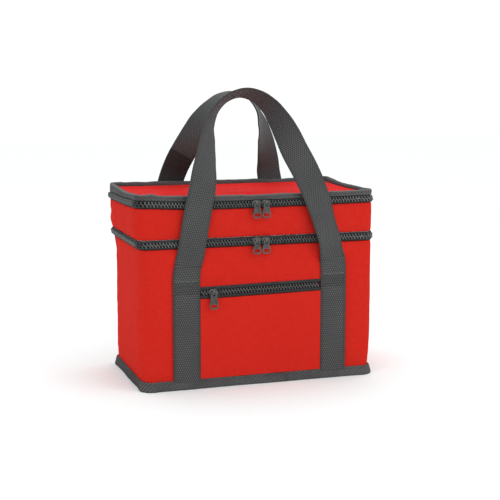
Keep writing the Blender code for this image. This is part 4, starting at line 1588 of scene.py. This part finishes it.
# Outlines in mm (away from the mouth, up) of a slider's plate and of the crown on its face
PLATE_OUTLINE = (
    (-5.0, -2.6), (-5.0, 2.6), (-2.0, 4.15), (2.6, 4.15), (4.8, 2.9), (5.0, 1.1),
    (3.9, 0.0), (5.0, -1.1), (4.8, -2.9), (2.6, -4.15), (-2.0, -4.15),
)
CROWN_OUTLINE = (
    (-4.6, 0.6), (-4.6, 2.2), (-2.6, 3.3), (2.6, 3.3), (4.4, 2.3),
    (4.4, 0.7), (2.4, 0.2), (2.0, -2.7), (-2.0, -2.7), (-2.4, 0.2),
)


def slider_parts(label, x, z, way):
    """A slider with its bridge, and its forked pull tab. way is 1 when its mouth faces left."""
    node = f"{label}_slider"
    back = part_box(node)[1].y
    plate_front = back - 2.6 * MM

    def solid(name, outline, radius, low, high, bevel):
        corners = rounded(outline, [radius] * len(outline))
        edge = [(x + way * px * MM, z + pz * MM) for px, pz in corners]
        return solid_outline(f"{label}_slider_{name}", edge, (), low, high, METAL, bevel)

    plate = solid("body", PLATE_OUTLINE, 1.3, plate_front + 0.6 * MM, back, 0.45 * MM)
    put(plate, node, (node,))
    crown = solid("crown", CROWN_OUTLINE, 1.0, plate_front + 0.3 * MM, plate_front + 0.8 * MM, 0.2 * MM)
    put(crown, node)
    arch(f"{label}_slider_bridge", x, z, plate_front, node)
    pull(label, x, z)


def arch(name, x, z, foot, body):
    """The loop over the pull tab's bar: a flat bow from above the bar to below it."""
    rise = 2.15 * MM
    half = 2.45 * MM
    width = 1.2 * MM
    thick = 0.33 * MM
    rows = []
    steps = 14
    for k in range(steps + 1):
        turn = math.pi * k / steps
        up = half * math.cos(turn)
        out = rise * math.sin(turn) ** 0.55
        rows.append((out, up))
    rows = np.array([(-0.4 * MM, half)] + rows + [(-0.4 * MM, -half)])
    slope = np.gradient(rows, axis=0)
    slope = slope / np.linalg.norm(slope, axis=1, keepdims=True)
    verts = []
    section = [(-1, -0.5), (-1, 0.5), (-0.8, 1), (0.8, 1), (1, 0.5), (1, -0.5), (0.8, -1), (-0.8, -1)]
    for (out, up), (d_out, d_up) in zip(rows, slope):
        for side, face in section:
            here_out = out - thick * (1 - face) * abs(d_up)
            here_up = up - np.sign(up) * thick * (1 - face) * abs(d_out)
            verts.append(Vector((x + side * width, foot - here_out, z + here_up)))
    piece = make(name, verts, tube_faces(0, len(rows), len(section)), METAL)
    put(piece, body)


def pull(label, x, z):
    """A forked tab: two prongs round the bridge, a bar through it and an oval eye."""
    node = f"{label}_pull"
    low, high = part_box(node)
    axis_y = (low.y + high.y) / 2
    half = (high.y - low.y) / 2
    top, bottom = high.z, low.z
    wide = (high.x - low.x) / 2
    slot = 1.62 * MM
    neck = 3.4 * MM
    slot_bottom = top - 4.3 * MM
    right = [
        (slot, top), (neck, top), (neck, slot_bottom - 0.8 * MM),
        (wide, bottom + 4.2 * MM), (wide * 0.72, bottom),
    ]
    left = [(-px, pz) for px, pz in reversed(right)]
    fork = [(-slot, slot_bottom), (slot, slot_bottom)]
    turns = (0.3, 0.5, 1.2, 2.4, 3.4, 3.4, 2.4, 1.2, 0.5, 0.3, 0.5, 0.5)
    edge = [(x + px, pz) for px, pz in rounded(right + left + fork, [turn * MM for turn in turns])]
    eye_wide = wide - 1.5 * MM
    eye_low, eye_high = bottom + 1.7 * MM, bottom + 6.0 * MM
    corners = [(eye_wide, eye_high - 1.2 * MM), (eye_wide * 0.9, eye_low), (-eye_wide * 0.9, eye_low),
               (-eye_wide, eye_high - 1.2 * MM), (-eye_wide * 0.5, eye_high), (eye_wide * 0.5, eye_high)]
    eye = [(x + px, pz) for px, pz in rounded(corners, [1.4 * MM] * len(corners))]
    tab = solid_outline(f"{label}_pull_tab", edge, (eye,), axis_y - half, axis_y + half, METAL, 0.35 * MM)
    put(tab, node, (node,))
    verts = []
    radius = 0.36 * MM
    sides = 10
    for bar_x in (x - slot - 0.5 * MM, x + slot + 0.5 * MM):
        for k in range(sides):
            turn = 2 * math.pi * k / sides
            verts.append(Vector((bar_x, axis_y + radius * math.cos(turn), z + radius * math.sin(turn))))
    bar = make(f"{label}_pull_bar", verts, tube_faces(0, 2, sides), METAL)
    put(bar, node)


for slider_label, mouth in (
    ("top_left", 1), ("top_right", -1), ("main_left", 1), ("main_right", -1), ("pocket", 1),
):
    slider_low, slider_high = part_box(f"{slider_label}_slider")
    slider_x = (slider_low.x + slider_high.x) / 2
    slider_parts(slider_label, slider_x, (slider_low.z + slider_high.z) / 2, mouth)


def settle_pieces(before):
    """Settle every soft piece that has not been settled yet, except webbing."""
    done = before | {"main_hinge_fabric", "lid_hinge_fabric"}
    for piece in [o for o in bpy.data.objects if o.type == "MESH" and o.name not in done]:
        if not piece.name.startswith(("front_", "back_")):
            settle_piece(piece)


settle_pieces(set(CAD_NAMES))


# ---------------------------------------------------------------- stage

def stage():
    """The pale floor, the soft light and the camera."""
    floor_mesh = bpy.data.meshes.new("floor")
    size = 6.0
    corners = [(-size, -size, 0), (size, -size, 0), (size, size, 0), (-size, size, 0)]
    floor_mesh.from_pydata(corners, [], [(0, 1, 2, 3)])
    floor = new_object("floor", floor_mesh)
    finish = Finish("pale_floor", Roughness=0.9, Specular_IOR_Level=0.0)
    grain = finish.noise(finish.place(), 3.0, 2.0)
    finish.colour(finish.mix(grain, rgb(0.91, 0.96, 0.96), rgb(0.915, 0.965, 0.965)))
    floor_mesh.materials.append(finish.made)

    world = bpy.data.worlds.new("studio")
    bpy.context.scene.world = world
    world.use_nodes = True
    sky = world.node_tree.nodes["Background"]
    sky.inputs[0].default_value = rgb(1.0, 1.0, 1.0)
    sky.inputs[1].default_value = 1.08

    def area(name, place, aim, power, width):
        light = bpy.data.lights.new(name, "AREA")
        light.energy = power
        light.size = width
        lamp = new_object(name, light)
        lamp.location = place
        lamp.rotation_euler = (Vector(aim) - Vector(place)).to_track_quat("-Z", "Y").to_euler()

    area("key", (0.9, -1.1, 1.3), (0, 0, 0.12), 4, 0.9)
    area("top", (0.1, 0.3, 1.6), (0, 0, 0.1), 3, 1.2)

    camera = bpy.data.cameras.new("camera")
    eye = new_object("camera", camera)
    camera.lens = 80.55
    camera.sensor_width = 36
    target = Vector((0.01369, 0, 0.14697))
    azimuth, elevation, distance = math.radians(-18.4345), math.radians(8.2991), 1.3701
    level = Vector((math.sin(azimuth), -math.cos(azimuth), 0)) * math.cos(elevation)
    eye.location = target + distance * (level + Vector((0, 0, math.sin(elevation))))
    eye.rotation_euler = (target - eye.location).to_track_quat("-Z", "Y").to_euler()
    bpy.context.scene.camera = eye
    bpy.context.scene.view_settings.view_transform = "Standard"


stage()
